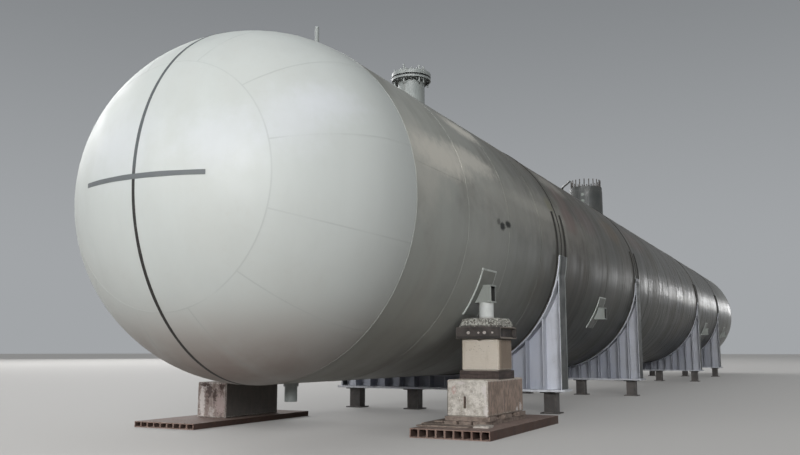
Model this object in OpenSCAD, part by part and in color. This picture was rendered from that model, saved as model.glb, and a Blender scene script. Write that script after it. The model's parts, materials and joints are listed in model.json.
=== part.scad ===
// Horizontal pressure vessel on four saddles, modelled at half of its real size.
// The shell is rolled in courses, welded in sections, and closed by two hemispherical heads.
// X runs along the vessel, from the near head to the far head. Z is up from the floor.

/* [Vessel] */
// Outside diameter of the shell and heads
vessel_od = 3250; // [2600:10:3600]
// Shell plate thickness
shell_t = 22; // [12:1:36]
// Head plate thickness
head_t = 18; // [12:1:30]
// Length of one rolled course
course_len = 1168; // [1100:1:1240]
// Number of rolled courses
course_count = 23; // [22:1:24]
// Courses that are welded into one section
section_courses = 3; // [3]
// Height of the vessel axis above the floor
axis_h = 2110; // [2050:5:2300]

/* [Heads] */
// Angle from the pole to the seam of the crown plate
crown_angle = 39; // [30:1:50]
// Petal plates round each head
petal_count = 12; // [8:1:16]

/* [Welds] */
// Width of a butt weld between two plates
weld_w = 9; // [6:1:14]
// Height of the weld cap above the plate
weld_cap = 2.5; // [1:0.5:4]
// Height of the heads' welds above the plate, where they are ground down
head_weld_cap = 0.8; // [0.4:0.1:3]

/* [Saddles] */
// Distance from the middle of the vessel to the outer saddles
saddle_out = 9050; // [8600:10:9400]
// Distance from the middle of the vessel to the inner saddles
saddle_in = 4130; // [3800:10:4500]
// Distance from the cradle's outside to an outer saddle's end plate
saddle_inset_out = 33; // [5:1:90]
// Distance from the cradle's outside to an inner saddle's end plate
saddle_inset_in = 9; // [5:1:90]
// Bays between the ribs of an outer saddle
bays_out = 14; // [10:2:18]
// Bays between the ribs of an inner saddle
bays_in = 18; // [12:2:22]
// Depth of the saddle body along the vessel
saddle_depth = 300; // [240:5:360]
// Thickness of the web
web_t = 16; // [10:1:24]
// Thickness of a rib
rib_t = 12; // [8:1:20]
// Overhang of the base plate beyond the body
base_lip = 40; // [10:5:60]
// Thickness of the base plate
base_t = 27; // [15:1:35]
// Height of the base plate's underside above the floor
base_h = 280; // [200:2:340]
// Thickness of the curved cradle plate
cradle_t = 18; // [10:1:26]
// Width of the curved cradle plate along the vessel
cradle_w = 350; // [310:5:400]
// Angle below the horizontal where the cradle plate ends
cradle_end = 3; // [1:0.5:8]

/* [Rubber strips] */
// Thickness of the rubber strips between vessel and saddle
strip_t = 12; // [6:1:20]
// Width of an edge strip
strip_w = 34; // [20:1:60]
// Distance between the edge strips' centres
strip_pitch = 366; // [320:2:400]
// Angle above the horizontal where the edge strips end
strip_end = 17.5; // [5:0.5:30]
// Width of the girth band over each saddle
band_w = 18; // [10:1:40]
// Thickness of the girth band
band_t = 8; // [4:1:12]

/* [Stools] */
// Distance from a saddle's end plate to the middle of the outer stools
stool_inset = 182; // [120:2:260]
// Distance between the outer and the inner stools
stool_pitch = 920; // [700:10:1000]
// Side of a stool's top and foot plates
stool_w = 240; // [180:5:300]
// Thickness of a stool's plates
stool_plate_t = 16; // [8:1:24]
// Side of a stool's square tube
stool_tube = 160; // [100:5:220]
// Wall of a stool's square tube
stool_wall = 10; // [5:1:16]

/* [Top nozzle] */
// Distance from the near tangent line to the nozzle
nozzle_x = 3220; // [2700:10:3300]
// Outside diameter of the nozzle neck
nozzle_od = 350; // [250:5:400]
// Wall of the nozzle neck
nozzle_wall = 14; // [8:1:20]
// Outside diameter of the nozzle flanges
flange_od = 512; // [470:2:560]
// Thickness of the neck's flange
flange_t = 33; // [25:1:50]
// Thickness of the blind flange
blind_t = 46; // [25:1:60]
// Gap between the flange faces, held by the gasket
gasket_t = 16; // [4:1:20]
// Height of the neck flange's face above the vessel's top
flange_h = 598; // [400:2:700]
// Width of the gasket beyond the neck
gasket_lip = 10; // [4:1:16]
// Distance from the flange's edge to the middle of the bolts
bolt_edge = 36.5; // [30:0.5:45]
// Bolts round the flange
flange_bolts = 20; // [12:2:28]
// Bolt diameter
bolt_d = 20; // [12:1:24]
// Thread that shows below the lower nuts
thread_low = 8; // [2:1:16]
// Thread that shows above the upper nuts
thread_high = 12; // [2:1:20]

/* [Dome] */
// Distance from the near tangent line to the dome
dome_x = 12290; // [11600:10:12800]
// Outside diameter of the dome's barrel
dome_od = 730; // [600:5:860]
// Wall of the dome's barrel
dome_wall = 20; // [12:1:30]
// Height of the dome's ring face above the vessel's top
dome_h = 640; // [450:5:760]
// Height of the heavy ring at the dome's top
dome_ring_h = 90; // [50:5:140]
// Wall of the heavy ring
dome_ring_wall = 78; // [60:1:100]
// Thickness of the dome's cover
cover_t = 90; // [60:1:110]
// Distance that the cover's edge lies inside the barrel's outside
cover_setback = 6; // [0:1:16]
// Studs round the cover
dome_studs_n = 20; // [12:2:28]
// Stud diameter
stud_d = 24; // [14:1:30]
// Length of stud that stands above the cover
stud_top = 175; // [60:5:200]
// Length of stud that is screwed into the ring
stud_socket = 50; // [30:1:80]

/* [Davit] */
// Distance of the davit's post from the dome's axis, along the vessel
davit_x = 110; // [0:10:200]
// Distance of the davit's post from the dome's axis, to the left
davit_y = 580; // [500:10:700]
// Height of the davit's arm above the vessel's top
davit_h = 820; // [780:5:900]
// Reach of the davit's arm
davit_reach = 750; // [500:10:900]
// Direction in which the arm is swung, from +X towards +Y
davit_swing = 209; // [150:1:215]
// Diameter of the post and the arm
davit_d = 48; // [30:1:60]
// Radius of the bend between post and arm
davit_bend_r = 96; // [70:1:140]
// Height of the socket that holds the post
davit_socket_h = 144; // [80:2:200]
// Outside diameter of the socket
davit_socket_od = 72; // [66:1:90]

/* [Small nozzles] */
// Distance from the near tangent line to the vent pipe
vent_x = 920; // [700:10:1100]
// Outside diameter of the vent pipe
vent_od = 44; // [30:1:70]
// Wall of the vent pipe
vent_wall = 5; // [3:0.5:8]
// Height of the vent pipe above the vessel's top
vent_h = 490; // [200:5:600]
// Distance from the near tangent line to the drain nozzle
drain_x = 556; // [450:5:650]
// Outside diameter of the drain nozzle
drain_od = 122; // [80:2:160]
// Wall of the drain nozzle
drain_wall = 8; // [5:1:12]
// Length of the drain nozzle below the vessel
drain_h = 175; // [80:5:220]
// Outside diameter of the drain's collar
drain_collar_od = 146; // [130:2:190]
// Length of the drain's collar below the vessel
drain_collar_h = 30; // [15:1:50]

/* [Jacking lugs] */
// Distance from each tangent line to the end lugs
lug_end = 1888; // [1700:5:2000]
// Distance from each tangent line to the inner lugs
lug_in = 6897; // [6600:5:7200]
// Length of a lug pad along the vessel
pad_w = 390; // [300:5:440]
// Thickness of a lug pad
pad_t = 12; // [8:1:20]
// Angle below the horizontal of the pad's upper edge
pad_top = 17; // [10:0.5:20]
// Angle below the horizontal of the pad's lower edge
pad_bottom = 35.5; // [33:0.5:42]
// Height of the lug's seat above the vessel's underside
lug_rise = 805; // [760:5:850]
// Height of the lug from its seat to the top of its upper plate
lug_h = 180; // [140:5:220]
// Reach of the lug beyond the shell, at the height of its seat
lug_out = 187; // [160:1:230]
// Distance between the outer faces of the lug's two gussets
lug_w = 136; // [100:2:180]
// Plate thickness of the lug
lug_t = 14; // [8:1:20]
// Overhang of the lug's upper and lower plates beyond the gussets
lug_lip = 8; // [0:1:16]

/* [Stands] */
// Distance from the lug's outer edge to the middle of a stand
stand_inset = 78; // [60:2:100]
// Length of the prop
prop_h = 175; // [120:5:220]
// Outside diameter of the prop
prop_od = 152; // [120:2:170]
// Wall of the prop
prop_wall = 12; // [6:1:20]
// Width of the jack's bed at its foot
bed_w = 436; // [380:2:460]
// Width of the jack's bed at its top
bed_top_w = 374; // [300:2:378]
// Height of the jack's bed
bed_h = 80; // [50:2:110]
// Side of the grillage under the jack
grillage_w = 480; // [460:2:560]
// Height of the grillage's beams
beam_h = 118; // [80:2:140]
// Flange width of a grillage beam
beam_w = 90; // [70:2:110]
// Plate thickness of a grillage beam
beam_t = 9; // [6:1:14]
// Diameter of the two thick tie rods through a grillage's end plates
tie_rod_d = 32; // [20:1:44]
// Diameter of the two thin tie rods
thin_rod_d = 20; // [12:1:30]
// Length of a tie rod that stands out of an end plate
tie_rod_end = 8; // [4:1:16]
// Side of an upper block
upper_block_w = 400; // [340:5:440]
// Height of the packer between the blocks
packer_h = 80; // [60:2:100]
// Overhang of the packer beyond the upper block, along the vessel
packer_lip_x = 30; // [0:1:50]
// Overhang of the packer beyond the upper block, across the vessel
packer_lip_y = 10; // [0:1:40]
// Width and depth of the chip in the middle of an upper block's top edge
chip_w = 64; // [30:2:90]
chip_depth = 18; // [8:1:30]
// Length of the right stand's lower block
lower_block_len = 1054; // [960:2:1100]
// Distance that the right stand's lower block is set towards the near head
lower_block_shift = 30; // [0:5:60]
// Width of the lifting slot in each end of the right stand's lower block
slot_w = 26; // [16:2:40]
// Height of the lifting slot
slot_h = 114; // [80:2:150]
// Height of the lifting slot's foot above the block's underside
slot_foot = 78; // [50:2:110]
// Depth of the lifting slot
slot_depth = 60; // [20:5:120]
// Distance of the lifting slot from the block's middle, towards the vessel's axis
slot_offset = 24; // [0:2:60]
// Length of the left stand's lower block
left_lower_block_len = 994; // [960:2:1100]
// Width of the right stand's lower block
lower_block_w = 424; // [380:2:460]
// Height of the right stand's lower block
lower_block_h = 349; // [300:2:390]
// Width of the left stand's lower block
left_lower_block_w = 400; // [380:2:460]
// Height of the left stand's lower block
left_lower_block_h = 390; // [340:2:430]
// Distance that the left stand's lower block is set towards the near head
left_block_shift = 170; // [0:5:240]
// Chamfer of the block edges
block_chamfer = 14; // [5:1:25]
// Thickness of a timber on the right raft
timber_t = 40; // [25:1:55]
// Width of a board that lies along the raft
board_w = 124; // [90:1:140]
// Length of a board beyond each end of the lower block
board_lip = 65; // [20:1:120]
// Width of a sleeper that lies across the boards
sleeper_w = 200; // [120:2:260]
// Length of a sleeper beyond each side of the lower block
sleeper_lip = 23; // [5:1:60]
// Length of a raft
raft_len = 2130; // [2000:10:2400]
// Height of the right stand's raft
raft_h = 86; // [60:1:100]
// Height of the left stand's raft
left_raft_h = 60; // [50:1:90]
// Distance that the left stand's raft is set towards the near head
left_raft_shift = 320; // [0:5:360]
// Distance that both rafts are set outwards from the stands
raft_outset = 28; // [0:1:60]
// Square tubes side by side in a raft
raft_tubes = 9; // [8:1:11]
// Width of one raft tube
raft_tube_w = 88; // [80:1:95]
// Wall of a raft tube
raft_wall = 9; // [5:1:14]

/* [Hidden] */
$fn = 96;

vessel_r = vessel_od / 2;
shell_len = course_len * course_count;
half_len = shell_len / 2;
section_count = 8;
far = 2 * vessel_od;
paint = [0.78, 0.80, 0.79];
shell_paint = [0.60, 0.62, 0.60];
saddle_paint = [0.66, 0.69, 0.73];
rubber = [0.07, 0.07, 0.08];
concrete = [0.62, 0.58, 0.52];
rust = [0.35, 0.23, 0.18];
timber = [0.40, 0.29, 0.20];
bare_steel = [0.30, 0.29, 0.29];

strip_r = vessel_r + strip_t;
cradle_r = strip_r + cradle_t;
saddle_x = [-saddle_out, -saddle_in, saddle_in, saddle_out];
lug_x = [-half_len + lug_end, -half_len + lug_in, half_len - lug_in, half_len - lug_end];
lug_seat = vessel_r - lug_rise;
lug_top = lug_seat - lug_h;
lug_reach = sqrt(pow(vessel_r, 2) - pow(lug_seat, 2)) + lug_out;
stand_x = lug_x[0];
stand_y = lug_reach - stand_inset;
seat_z = axis_h - lug_seat;
flange_face = vessel_r + flange_h;
dome_face = vessel_r + dome_h;
bolt_circle = flange_od - 2 * bolt_edge;
stud_circle = dome_od - dome_ring_wall;
stud_play = 0.6;
nut_width = 1.9;
nut_height = 0.9;
cut = 1;
raft_w = raft_tubes * raft_tube_w;

// Places for things on the vessel's axis and on both sides of it, and bodies turned about it
module both_sides() {
    children();
    mirror([0, 1, 0]) children();
}

module at_axis() translate([0, 0, axis_h]) children();
module turned_about_x() rotate([0, 90, 0]) rotate_extrude($fn = 180) children();

// Long cylinder along X that things are cut to, so that they fit round the vessel
module vessel_cutter(r) rotate([0, 90, 0]) cylinder(r = r, h = far, center = true, $fn = 180);

// Boundary between section k - 1 and section k, from 0 at the near tangent line
function boundary(k) =
    k >= section_count ? half_len : -half_len + k * section_courses * course_len;

// Plate that is bent to the vessel, between two angles below the horizontal on the right side
module bent_plate(r_in, r_out, from, to, w) {
    rotate([90, 0, 90]) linear_extrude(w, center = true) intersection() {
        difference() {
            circle(r_out, $fn = 180);
            circle(r_in, $fn = 180);
        }
        polygon([
            [0, 0],
            for (i = [0:4]) let (a = 180 + from + (to - from) * i / 4) far * [cos(a), sin(a)]
        ]);
    }
}

// Spherical shell between two angles from the pole, which points along +Z
module sphere_zone(r_in, r_out, from, to) {
    rotate_extrude($fn = 180) intersection() {
        difference() {
            circle(r_out, $fn = 180);
            circle(r_in, $fn = 180);
        }
        polygon([
            [0, 0],
            for (i = [0:4]) let (a = from + (to - from) * i / 4) far * [sin(a), cos(a)]
        ]);
    }
}

weld_angle = weld_w / 2 / vessel_r * 180 / PI;

module head_place(side) {
    at_axis() translate([side * half_len, 0, 0]) rotate([0, side * 90, 0]) children();
}

module head_crown(side) {
    color(paint) head_place(side)
        sphere_zone(vessel_r - head_t, vessel_r, 0, crown_angle - weld_angle);
}

// Thin bars along the meridian seams
module meridian_bars() {
    for (i = [0:petal_count - 1])
        rotate([0, 0, (i + 0.5) * 360 / petal_count])
            translate([0, -weld_w / 2, weld_w / 2]) cube([far, weld_w, far]);
}

module head_petals(side) {
    color(paint) head_place(side) difference() {
        sphere_zone(vessel_r - head_t, vessel_r, crown_angle + weld_angle, 90);
        meridian_bars();
        translate([0, 0, -weld_w / 2]) cylinder(r = far, h = weld_w);
    }
}

module head_welds(side) {
    r_in = vessel_r - head_t;
    r_out = vessel_r + head_weld_cap;
    color(paint) head_place(side) {
        sphere_zone(r_in, r_out, crown_angle - weld_angle, crown_angle + weld_angle);
        intersection() {
            sphere_zone(r_in, r_out, crown_angle, 90);
            meridian_bars();
        }
    }
}

// Every hole in the shell for a nozzle or the dome
module shell_holes() {
    translate([-half_len + nozzle_x, 0, 0]) cylinder(d = nozzle_od, h = far);
    translate([-half_len + dome_x, 0, 0]) cylinder(d = dome_od, h = far);
    translate([-half_len + vent_x, 0, 0]) cylinder(d = vent_od, h = far, $fn = 32);
    translate([-half_len + drain_x, 0, -far]) cylinder(d = drain_od, h = far, $fn = 48);
}

module shell_section(k) {
    x0 = boundary(k) + weld_w / 2;
    x1 = boundary(k + 1) - weld_w / 2;
    seams = [for (x = [boundary(k) + course_len:course_len:x1 - weld_w]) x];
    r = vessel_r;
    color(shell_paint) at_axis() difference() {
        turned_about_x() polygon([
            [r - shell_t, x0],
            [r, x0],
            for (s = seams) each [
                [r, s - weld_w / 2], [r + weld_cap, s - weld_w / 4],
                [r + weld_cap, s + weld_w / 4], [r, s + weld_w / 2]
            ],
            [r, x1],
            [r - shell_t, x1]
        ]);
        shell_holes();
    }
}

module shell_girth_welds() {
    color(shell_paint) at_axis()
        for (k = [0:section_count])
            translate([boundary(k) - weld_w / 2, 0, 0]) turned_about_x()
                translate([vessel_r - shell_t, 0]) square([shell_t + weld_cap, weld_w]);
}

// Saddles

function saddle_half(i) = cradle_r - (i == 0 || i == 3 ? saddle_inset_out : saddle_inset_in);

module saddle(i) {
    outer = (i == 0 || i == 3);
    half_w = saddle_half(i);
    bays = outer ? bays_out : bays_in;
    pitch = (2 * half_w - rib_t) / bays;
    body_h = axis_h - base_h - base_t;
    color(saddle_paint) translate([saddle_x[i], 0, 0]) {
        difference() {
            union() {
                translate([0, 0, base_h + base_t / 2])
                    cube([saddle_depth + 2 * base_lip, 2 * (half_w + base_lip), base_t], center = true);
                translate([-web_t / 2, -half_w, base_h + base_t]) cube([web_t, 2 * half_w, body_h]);
                for (n = [0:bays])
                    translate([-saddle_depth / 2, -half_w + n * pitch, base_h + base_t])
                        cube([saddle_depth, rib_t, body_h]);
            }
            at_axis() vessel_cutter(cradle_r - cradle_t / 2);
        }
        at_axis() bent_plate(strip_r, cradle_r, cradle_end, 180 - cradle_end, cradle_w);
    }
}

module saddle_rubber_strips() {
    color(rubber) for (x = saddle_x, s = [-1, 1])
        translate([x + s * strip_pitch / 2, 0, axis_h])
            bent_plate(vessel_r, strip_r, -strip_end, 180 + strip_end, strip_w);
}

module saddle_girth_bands() {
    color(rubber) for (x = saddle_x)
        translate([x - band_w / 2, 0, axis_h]) turned_about_x()
            translate([vessel_r, 0]) square([band_t, band_w]);
}

module stool() {
    for (z = [0, base_h - stool_plate_t])
        translate([-stool_w / 2, -stool_w / 2, z]) cube([stool_w, stool_w, stool_plate_t]);
    translate([0, 0, stool_plate_t]) linear_extrude(base_h - 2 * stool_plate_t) difference() {
        square(stool_tube, center = true);
        square(stool_tube - 2 * stool_wall, center = true);
    }
}

module saddle_stools() {
    color(bare_steel) both_sides() for (i = [0:3], n = [0, 1])
        translate([saddle_x[i], n * stool_pitch + stool_inset - saddle_half(i), 0]) stool();
}

// Nozzles

module ring_of(n, d) {
    for (i = [0:n - 1]) rotate([0, 0, (i + 0.5) * 360 / n]) translate([d / 2, 0, 0]) children();
}

module nozzle_place() translate([-half_len + nozzle_x, 0, axis_h]) children();

neck_root = sqrt(pow(vessel_r - shell_t, 2) - pow(nozzle_od / 2, 2));

module top_nozzle() {
    color(paint) nozzle_place() difference() {
        union() {
            translate([0, 0, neck_root]) cylinder(d = nozzle_od, h = flange_face - neck_root);
            translate([0, 0, flange_face - flange_t]) cylinder(d = flange_od, h = flange_t);
        }
        cylinder(d = nozzle_od - 2 * nozzle_wall, h = far);
        translate([0, 0, flange_face - 2 * flange_t]) ring_of(flange_bolts, bolt_circle)
            cylinder(d = bolt_d, h = 3 * flange_t, $fn = 24);
    }
}

module nozzle_blind_flange() {
    color(paint) nozzle_place() translate([0, 0, flange_face]) difference() {
        union() {
            cylinder(d = nozzle_od + 2 * gasket_lip, h = gasket_t);
            translate([0, 0, gasket_t]) cylinder(d = flange_od, h = blind_t);
        }
        translate([0, 0, -cut]) ring_of(flange_bolts, bolt_circle)
            cylinder(d = bolt_d, h = blind_t + gasket_t + 2 * cut, $fn = 24);
    }
}

module nut(d) cylinder(d = nut_width * d, h = nut_height * d, $fn = 6);

module nozzle_bolts() {
    pack_h = flange_t + gasket_t + blind_t;
    nut_h = nut_height * bolt_d;
    bolt_len = thread_low + pack_h + 2 * nut_h + thread_high;
    color(bare_steel) nozzle_place() translate([0, 0, flange_face - flange_t])
        ring_of(flange_bolts, bolt_circle) {
            translate([0, 0, -nut_h - thread_low])
                cylinder(d = bolt_d - stud_play, h = bolt_len, $fn = 24);
            translate([0, 0, -nut_h]) nut(bolt_d);
            translate([0, 0, pack_h]) nut(bolt_d);
        }
}

module dome_place() translate([-half_len + dome_x, 0, axis_h]) children();

dome_root = sqrt(pow(vessel_r - shell_t, 2) - pow(dome_od / 2, 2));

module dome_barrel() {
    color(paint) dome_place() difference() {
        translate([0, 0, dome_root]) cylinder(d = dome_od, h = dome_face - dome_root);
        cylinder(d = dome_od - 2 * dome_wall, h = dome_face - dome_ring_h);
        cylinder(d = dome_od - 2 * dome_ring_wall, h = far);
        translate([0, 0, dome_face - stud_socket]) ring_of(dome_studs_n, stud_circle)
            cylinder(d = stud_d, h = far, $fn = 24);
    }
}

module dome_cover() {
    color(paint) dome_place() translate([0, 0, dome_face]) difference() {
        cylinder(d = dome_od - 2 * cover_setback, h = cover_t);
        translate([0, 0, -cut]) ring_of(dome_studs_n, stud_circle)
            cylinder(d = stud_d, h = cover_t + 2 * cut, $fn = 24);
    }
}

module dome_studs() {
    color(bare_steel) dome_place() translate([0, 0, dome_face])
        ring_of(dome_studs_n, stud_circle) {
            translate([0, 0, -stud_socket])
                cylinder(d = stud_d - stud_play, h = stud_socket + cover_t + stud_top, $fn = 24);
            translate([0, 0, cover_t]) nut(stud_d);
        }
}

// Bent pipe that stands in a socket beside the dome, for lifting its cover
module dome_davit() {
    foot = sqrt(pow(vessel_r, 2) - pow(davit_y, 2));
    arm_z = vessel_r + davit_h;
    bend_z = arm_z - davit_bend_r;
    color(paint) dome_place() difference() {
        translate([davit_x, davit_y, 0]) rotate([0, 0, davit_swing]) {
            cylinder(d = davit_d, h = bend_z, $fn = 32);
            translate([davit_bend_r, 0, bend_z]) rotate([90, 0, 0]) rotate([0, 0, 90])
                rotate_extrude(angle = 90, $fn = 48)
                    translate([davit_bend_r, 0]) circle(d = davit_d, $fn = 32);
            translate([davit_bend_r, 0, arm_z]) rotate([0, 90, 0])
                cylinder(d = davit_d, h = davit_reach - davit_bend_r, $fn = 32);
            cylinder(d = davit_socket_od, h = foot + davit_socket_h, $fn = 32);
        }
        vessel_cutter(vessel_r);
    }
}

module pipe(od, wall, h) {
    difference() {
        cylinder(d = od, h = h, $fn = 48);
        translate([0, 0, -cut]) cylinder(d = od - 2 * wall, h = h + 2 * cut, $fn = 48);
    }
}

module vent_pipe() {
    root = vessel_r - shell_t;
    color(paint) translate([-half_len + vent_x, 0, axis_h + root])
        pipe(vent_od, vent_wall, shell_t + vent_h);
}

module drain_nozzle() {
    root = sqrt(pow(vessel_r - shell_t, 2) - pow(drain_od / 2, 2));
    tip = vessel_r + drain_h;
    collar_z = drain_h - drain_collar_h;
    color(paint) translate([-half_len + drain_x, 0, axis_h - tip]) {
        difference() {
            cylinder(d = drain_od, h = tip - root, $fn = 48);
            translate([0, 0, drain_wall]) cylinder(d = drain_od - 2 * drain_wall, h = tip, $fn = 48);
        }
        difference() {
            translate([0, 0, collar_z]) cylinder(d = drain_collar_od, h = 2 * drain_collar_h, $fn = 48);
            translate([0, 0, drain_wall]) cylinder(d = drain_od - 2 * drain_wall, h = tip, $fn = 48);
            translate([0, 0, tip]) vessel_cutter(vessel_r);
        }
    }
}

// Jacking lugs

module lug_pads() {
    color(paint) both_sides() for (x = lug_x)
        translate([x, 0, axis_h]) bent_plate(vessel_r, vessel_r + pad_t, pad_top, pad_bottom, pad_w);
}

module lug_bracket() {
    depth = lug_reach / 2;
    difference() {
        translate([0, -lug_reach, 0]) union() {
            for (x = [-lug_w / 2, lug_w / 2 - lug_t])
                translate([x, 0, -lug_seat]) cube([lug_t, depth, lug_h]);
            translate([-lug_w / 2 - lug_lip, -lug_lip, -lug_top - lug_t])
                cube([lug_w + 2 * lug_lip, depth, lug_t]);
            translate([-lug_w / 2 - lug_lip, -lug_lip, -lug_seat])
                cube([lug_w + 2 * lug_lip, depth, lug_t]);
        }
        vessel_cutter(vessel_r + pad_t);
    }
}

module lug_brackets() {
    color(paint) both_sides() for (x = lug_x)
        translate([x, 0, axis_h]) lug_bracket();
}

// Stands under the near lugs. Each is stacked on its raft, and drawn on the right side.

// Heights in a stack. The upper block takes up what is left between the packer and the grillage.
function raft_top(left) = left ? left_raft_h : raft_h;
function lower_z(left) = raft_top(left) + (left ? 0 : 2 * timber_t);
function packer_z(left) = lower_z(left) + (left ? left_lower_block_h : lower_block_h);
function upper_z(left) = packer_z(left) + packer_h;
function upper_block_h(left) = grillage_z - upper_z(left);
bed_z = seat_z - prop_h - bed_h;
grillage_z = bed_z - beam_h;

module stand_place(left, z = 0, shift = 0, outset = 0) {
    mirror([0, left ? 1 : 0, 0]) translate([stand_x - shift, -stand_y - outset, z]) children();
}

// Rectangle with its corners cut off
module chamfered_rect(w, h, c) {
    x = w / 2;
    y = h / 2;
    polygon([
        [c - x, -y], [x - c, -y], [x, c - y], [x, y - c],
        [x - c, y], [c - x, y], [-x, y - c], [-x, c - y]
    ]);
}

module chamfered_block(l, w, h, c) {
    intersection() {
        linear_extrude(h) chamfered_rect(l, w, c);
        translate([0, 0, h / 2]) rotate([90, 0, 0])
            linear_extrude(w, center = true) chamfered_rect(l, h, c);
        translate([0, 0, h / 2]) rotate([90, 0, 90])
            linear_extrude(l, center = true) chamfered_rect(w, h, c);
    }
}

module raft(left) {
    h = raft_top(left);
    color(rust) stand_place(left, 0, left ? left_raft_shift : 0, raft_outset)
        rotate([90, 0, 90]) linear_extrude(raft_len, center = true) difference() {
            translate([-raft_w / 2, 0]) square([raft_w, h]);
            for (i = [0:raft_tubes - 1])
                translate([-raft_w / 2 + i * raft_tube_w + raft_wall, raft_wall])
                    square([raft_tube_w - 2 * raft_wall, h - 2 * raft_wall]);
        }
}

// Boards along the raft, and sleepers across them
module right_timbers() {
    board_len = lower_block_len + 2 * board_lip;
    sleeper_len = lower_block_w + 2 * sleeper_lip;
    color(timber) stand_place(false, raft_h, lower_block_shift) {
        for (i = [-1, 0, 1])
            translate([-board_len / 2, i * (lower_block_w - board_w) / 2 - board_w / 2, 0])
                cube([board_len, board_w, timber_t]);
        for (i = [-1, 0, 1])
            translate([i * (lower_block_len - sleeper_w) / 2 - sleeper_w / 2, -sleeper_len / 2, timber_t])
                cube([sleeper_w, sleeper_len, timber_t]);
    }
}

module right_lower_block() {
    color(concrete) stand_place(false, lower_z(false), lower_block_shift) difference() {
        chamfered_block(lower_block_len, lower_block_w, lower_block_h, block_chamfer);
        for (end = [-1, 1])
            translate([end * lower_block_len / 2, slot_offset, slot_foot + slot_h / 2])
                cube([2 * slot_depth, slot_w, slot_h], center = true);
    }
}

module left_lower_block() {
    color(concrete) stand_place(true, lower_z(true), left_block_shift)
        chamfered_block(left_lower_block_len, left_lower_block_w, left_lower_block_h, block_chamfer);
}

module packer(left) {
    length = upper_block_w + 2 * packer_lip_x;
    width = upper_block_w + 2 * packer_lip_y;
    color(timber) stand_place(left, packer_z(left))
        translate([-length / 2, -width / 2, 0]) cube([length, width, packer_h]);
}

module upper_block(left) {
    h = upper_block_h(left);
    color(concrete) stand_place(left, upper_z(left)) difference() {
        chamfered_block(upper_block_w, upper_block_w, h, block_chamfer);
        translate([-upper_block_w / 2, 0, h]) rotate([0, 90, 0]) linear_extrude(4 * chip_depth, center = true)
            polygon([[-chip_depth, chip_w], [block_chamfer + chip_depth, 0], [-chip_depth, -chip_w]]);
    }
}

module beam_profile() {
    for (y = [0, beam_h - beam_t])
        translate([-beam_w / 2, y]) square([beam_w, beam_t]);
    translate([-beam_t / 2, 0]) square([beam_t, beam_h]);
}

// Three joists side by side along the vessel, closed by a plate at each end, with tie rods between them
rod_gap = (grillage_w - beam_w) / 2;

// Each tie rod's place as a share of the gap between joists, and its diameter
tie_rods = [[0.54, tie_rod_d], [-0.02, thin_rod_d], [-0.35, tie_rod_d], [-0.78, thin_rod_d]];

module grillage(left) {
    color(bare_steel) stand_place(left, grillage_z) {
        for (i = [-1, 0, 1])
            translate([0, i * (grillage_w - beam_w) / 2, 0])
                rotate([90, 0, 90]) linear_extrude(grillage_w, center = true) beam_profile();
        for (i = [-1, 1])
            translate([i * (grillage_w - beam_t) / 2 - beam_t / 2, -grillage_w / 2, 0])
                cube([beam_t, grillage_w, beam_h]);
        for (rod = tie_rods)
            translate([0, rod[0] * rod_gap, beam_h / 2]) rotate([0, 90, 0])
                cylinder(d = rod[1], h = grillage_w + 2 * tie_rod_end, center = true, $fn = 32);
    }
}

module bed_profile() {
    polygon([[-bed_w / 2, 0], [bed_w / 2, 0], [bed_top_w / 2, bed_h], [-bed_top_w / 2, bed_h]]);
}

// Bed with sloping sides, and the tubular prop that carries the lug
module jack(left) {
    color(paint) stand_place(left, bed_z) {
        intersection() {
            rotate([90, 0, 0]) linear_extrude(bed_w, center = true) bed_profile();
            rotate([90, 0, 90]) linear_extrude(bed_w, center = true) bed_profile();
        }
        translate([0, 0, bed_h]) pipe(prop_od, prop_wall, prop_h);
    }
}

head_crown(-1);  // near_head_crown
head_petals(-1);  // near_head_petals
head_welds(-1);  // near_head_welds
head_crown(1);  // far_head_crown
head_petals(1);  // far_head_petals
head_welds(1);  // far_head_welds
shell_section(0);  // shell_section_1
shell_section(1);  // shell_section_2
shell_section(2);  // shell_section_3
shell_section(3);  // shell_section_4
shell_section(4);  // shell_section_5
shell_section(5);  // shell_section_6
shell_section(6);  // shell_section_7
shell_section(7);  // shell_section_8
shell_girth_welds();
saddle(0);  // saddle_1
saddle(1);  // saddle_2
saddle(2);  // saddle_3
saddle(3);  // saddle_4
saddle_rubber_strips();
saddle_girth_bands();
saddle_stools();
top_nozzle();
nozzle_blind_flange();
nozzle_bolts();
dome_barrel();
dome_cover();
dome_studs();
dome_davit();
vent_pipe();
drain_nozzle();
lug_pads();
lug_brackets();
raft(false);  // right_raft
right_timbers();
right_lower_block();
packer(false);  // right_packer
upper_block(false);  // right_upper_block
grillage(false);  // right_grillage
jack(false);  // right_jack
raft(true);  // left_raft
left_lower_block();
packer(true);  // left_packer
upper_block(true);  // left_upper_block
grillage(true);  // left_grillage
jack(true);  // left_jack
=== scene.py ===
"""Looks of a horizontal pressure vessel on four saddles, at half of its real size.

X runs along the vessel from the near head, Z is up, and every length is in metres.
"""

import json
import math
from itertools import combinations

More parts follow.
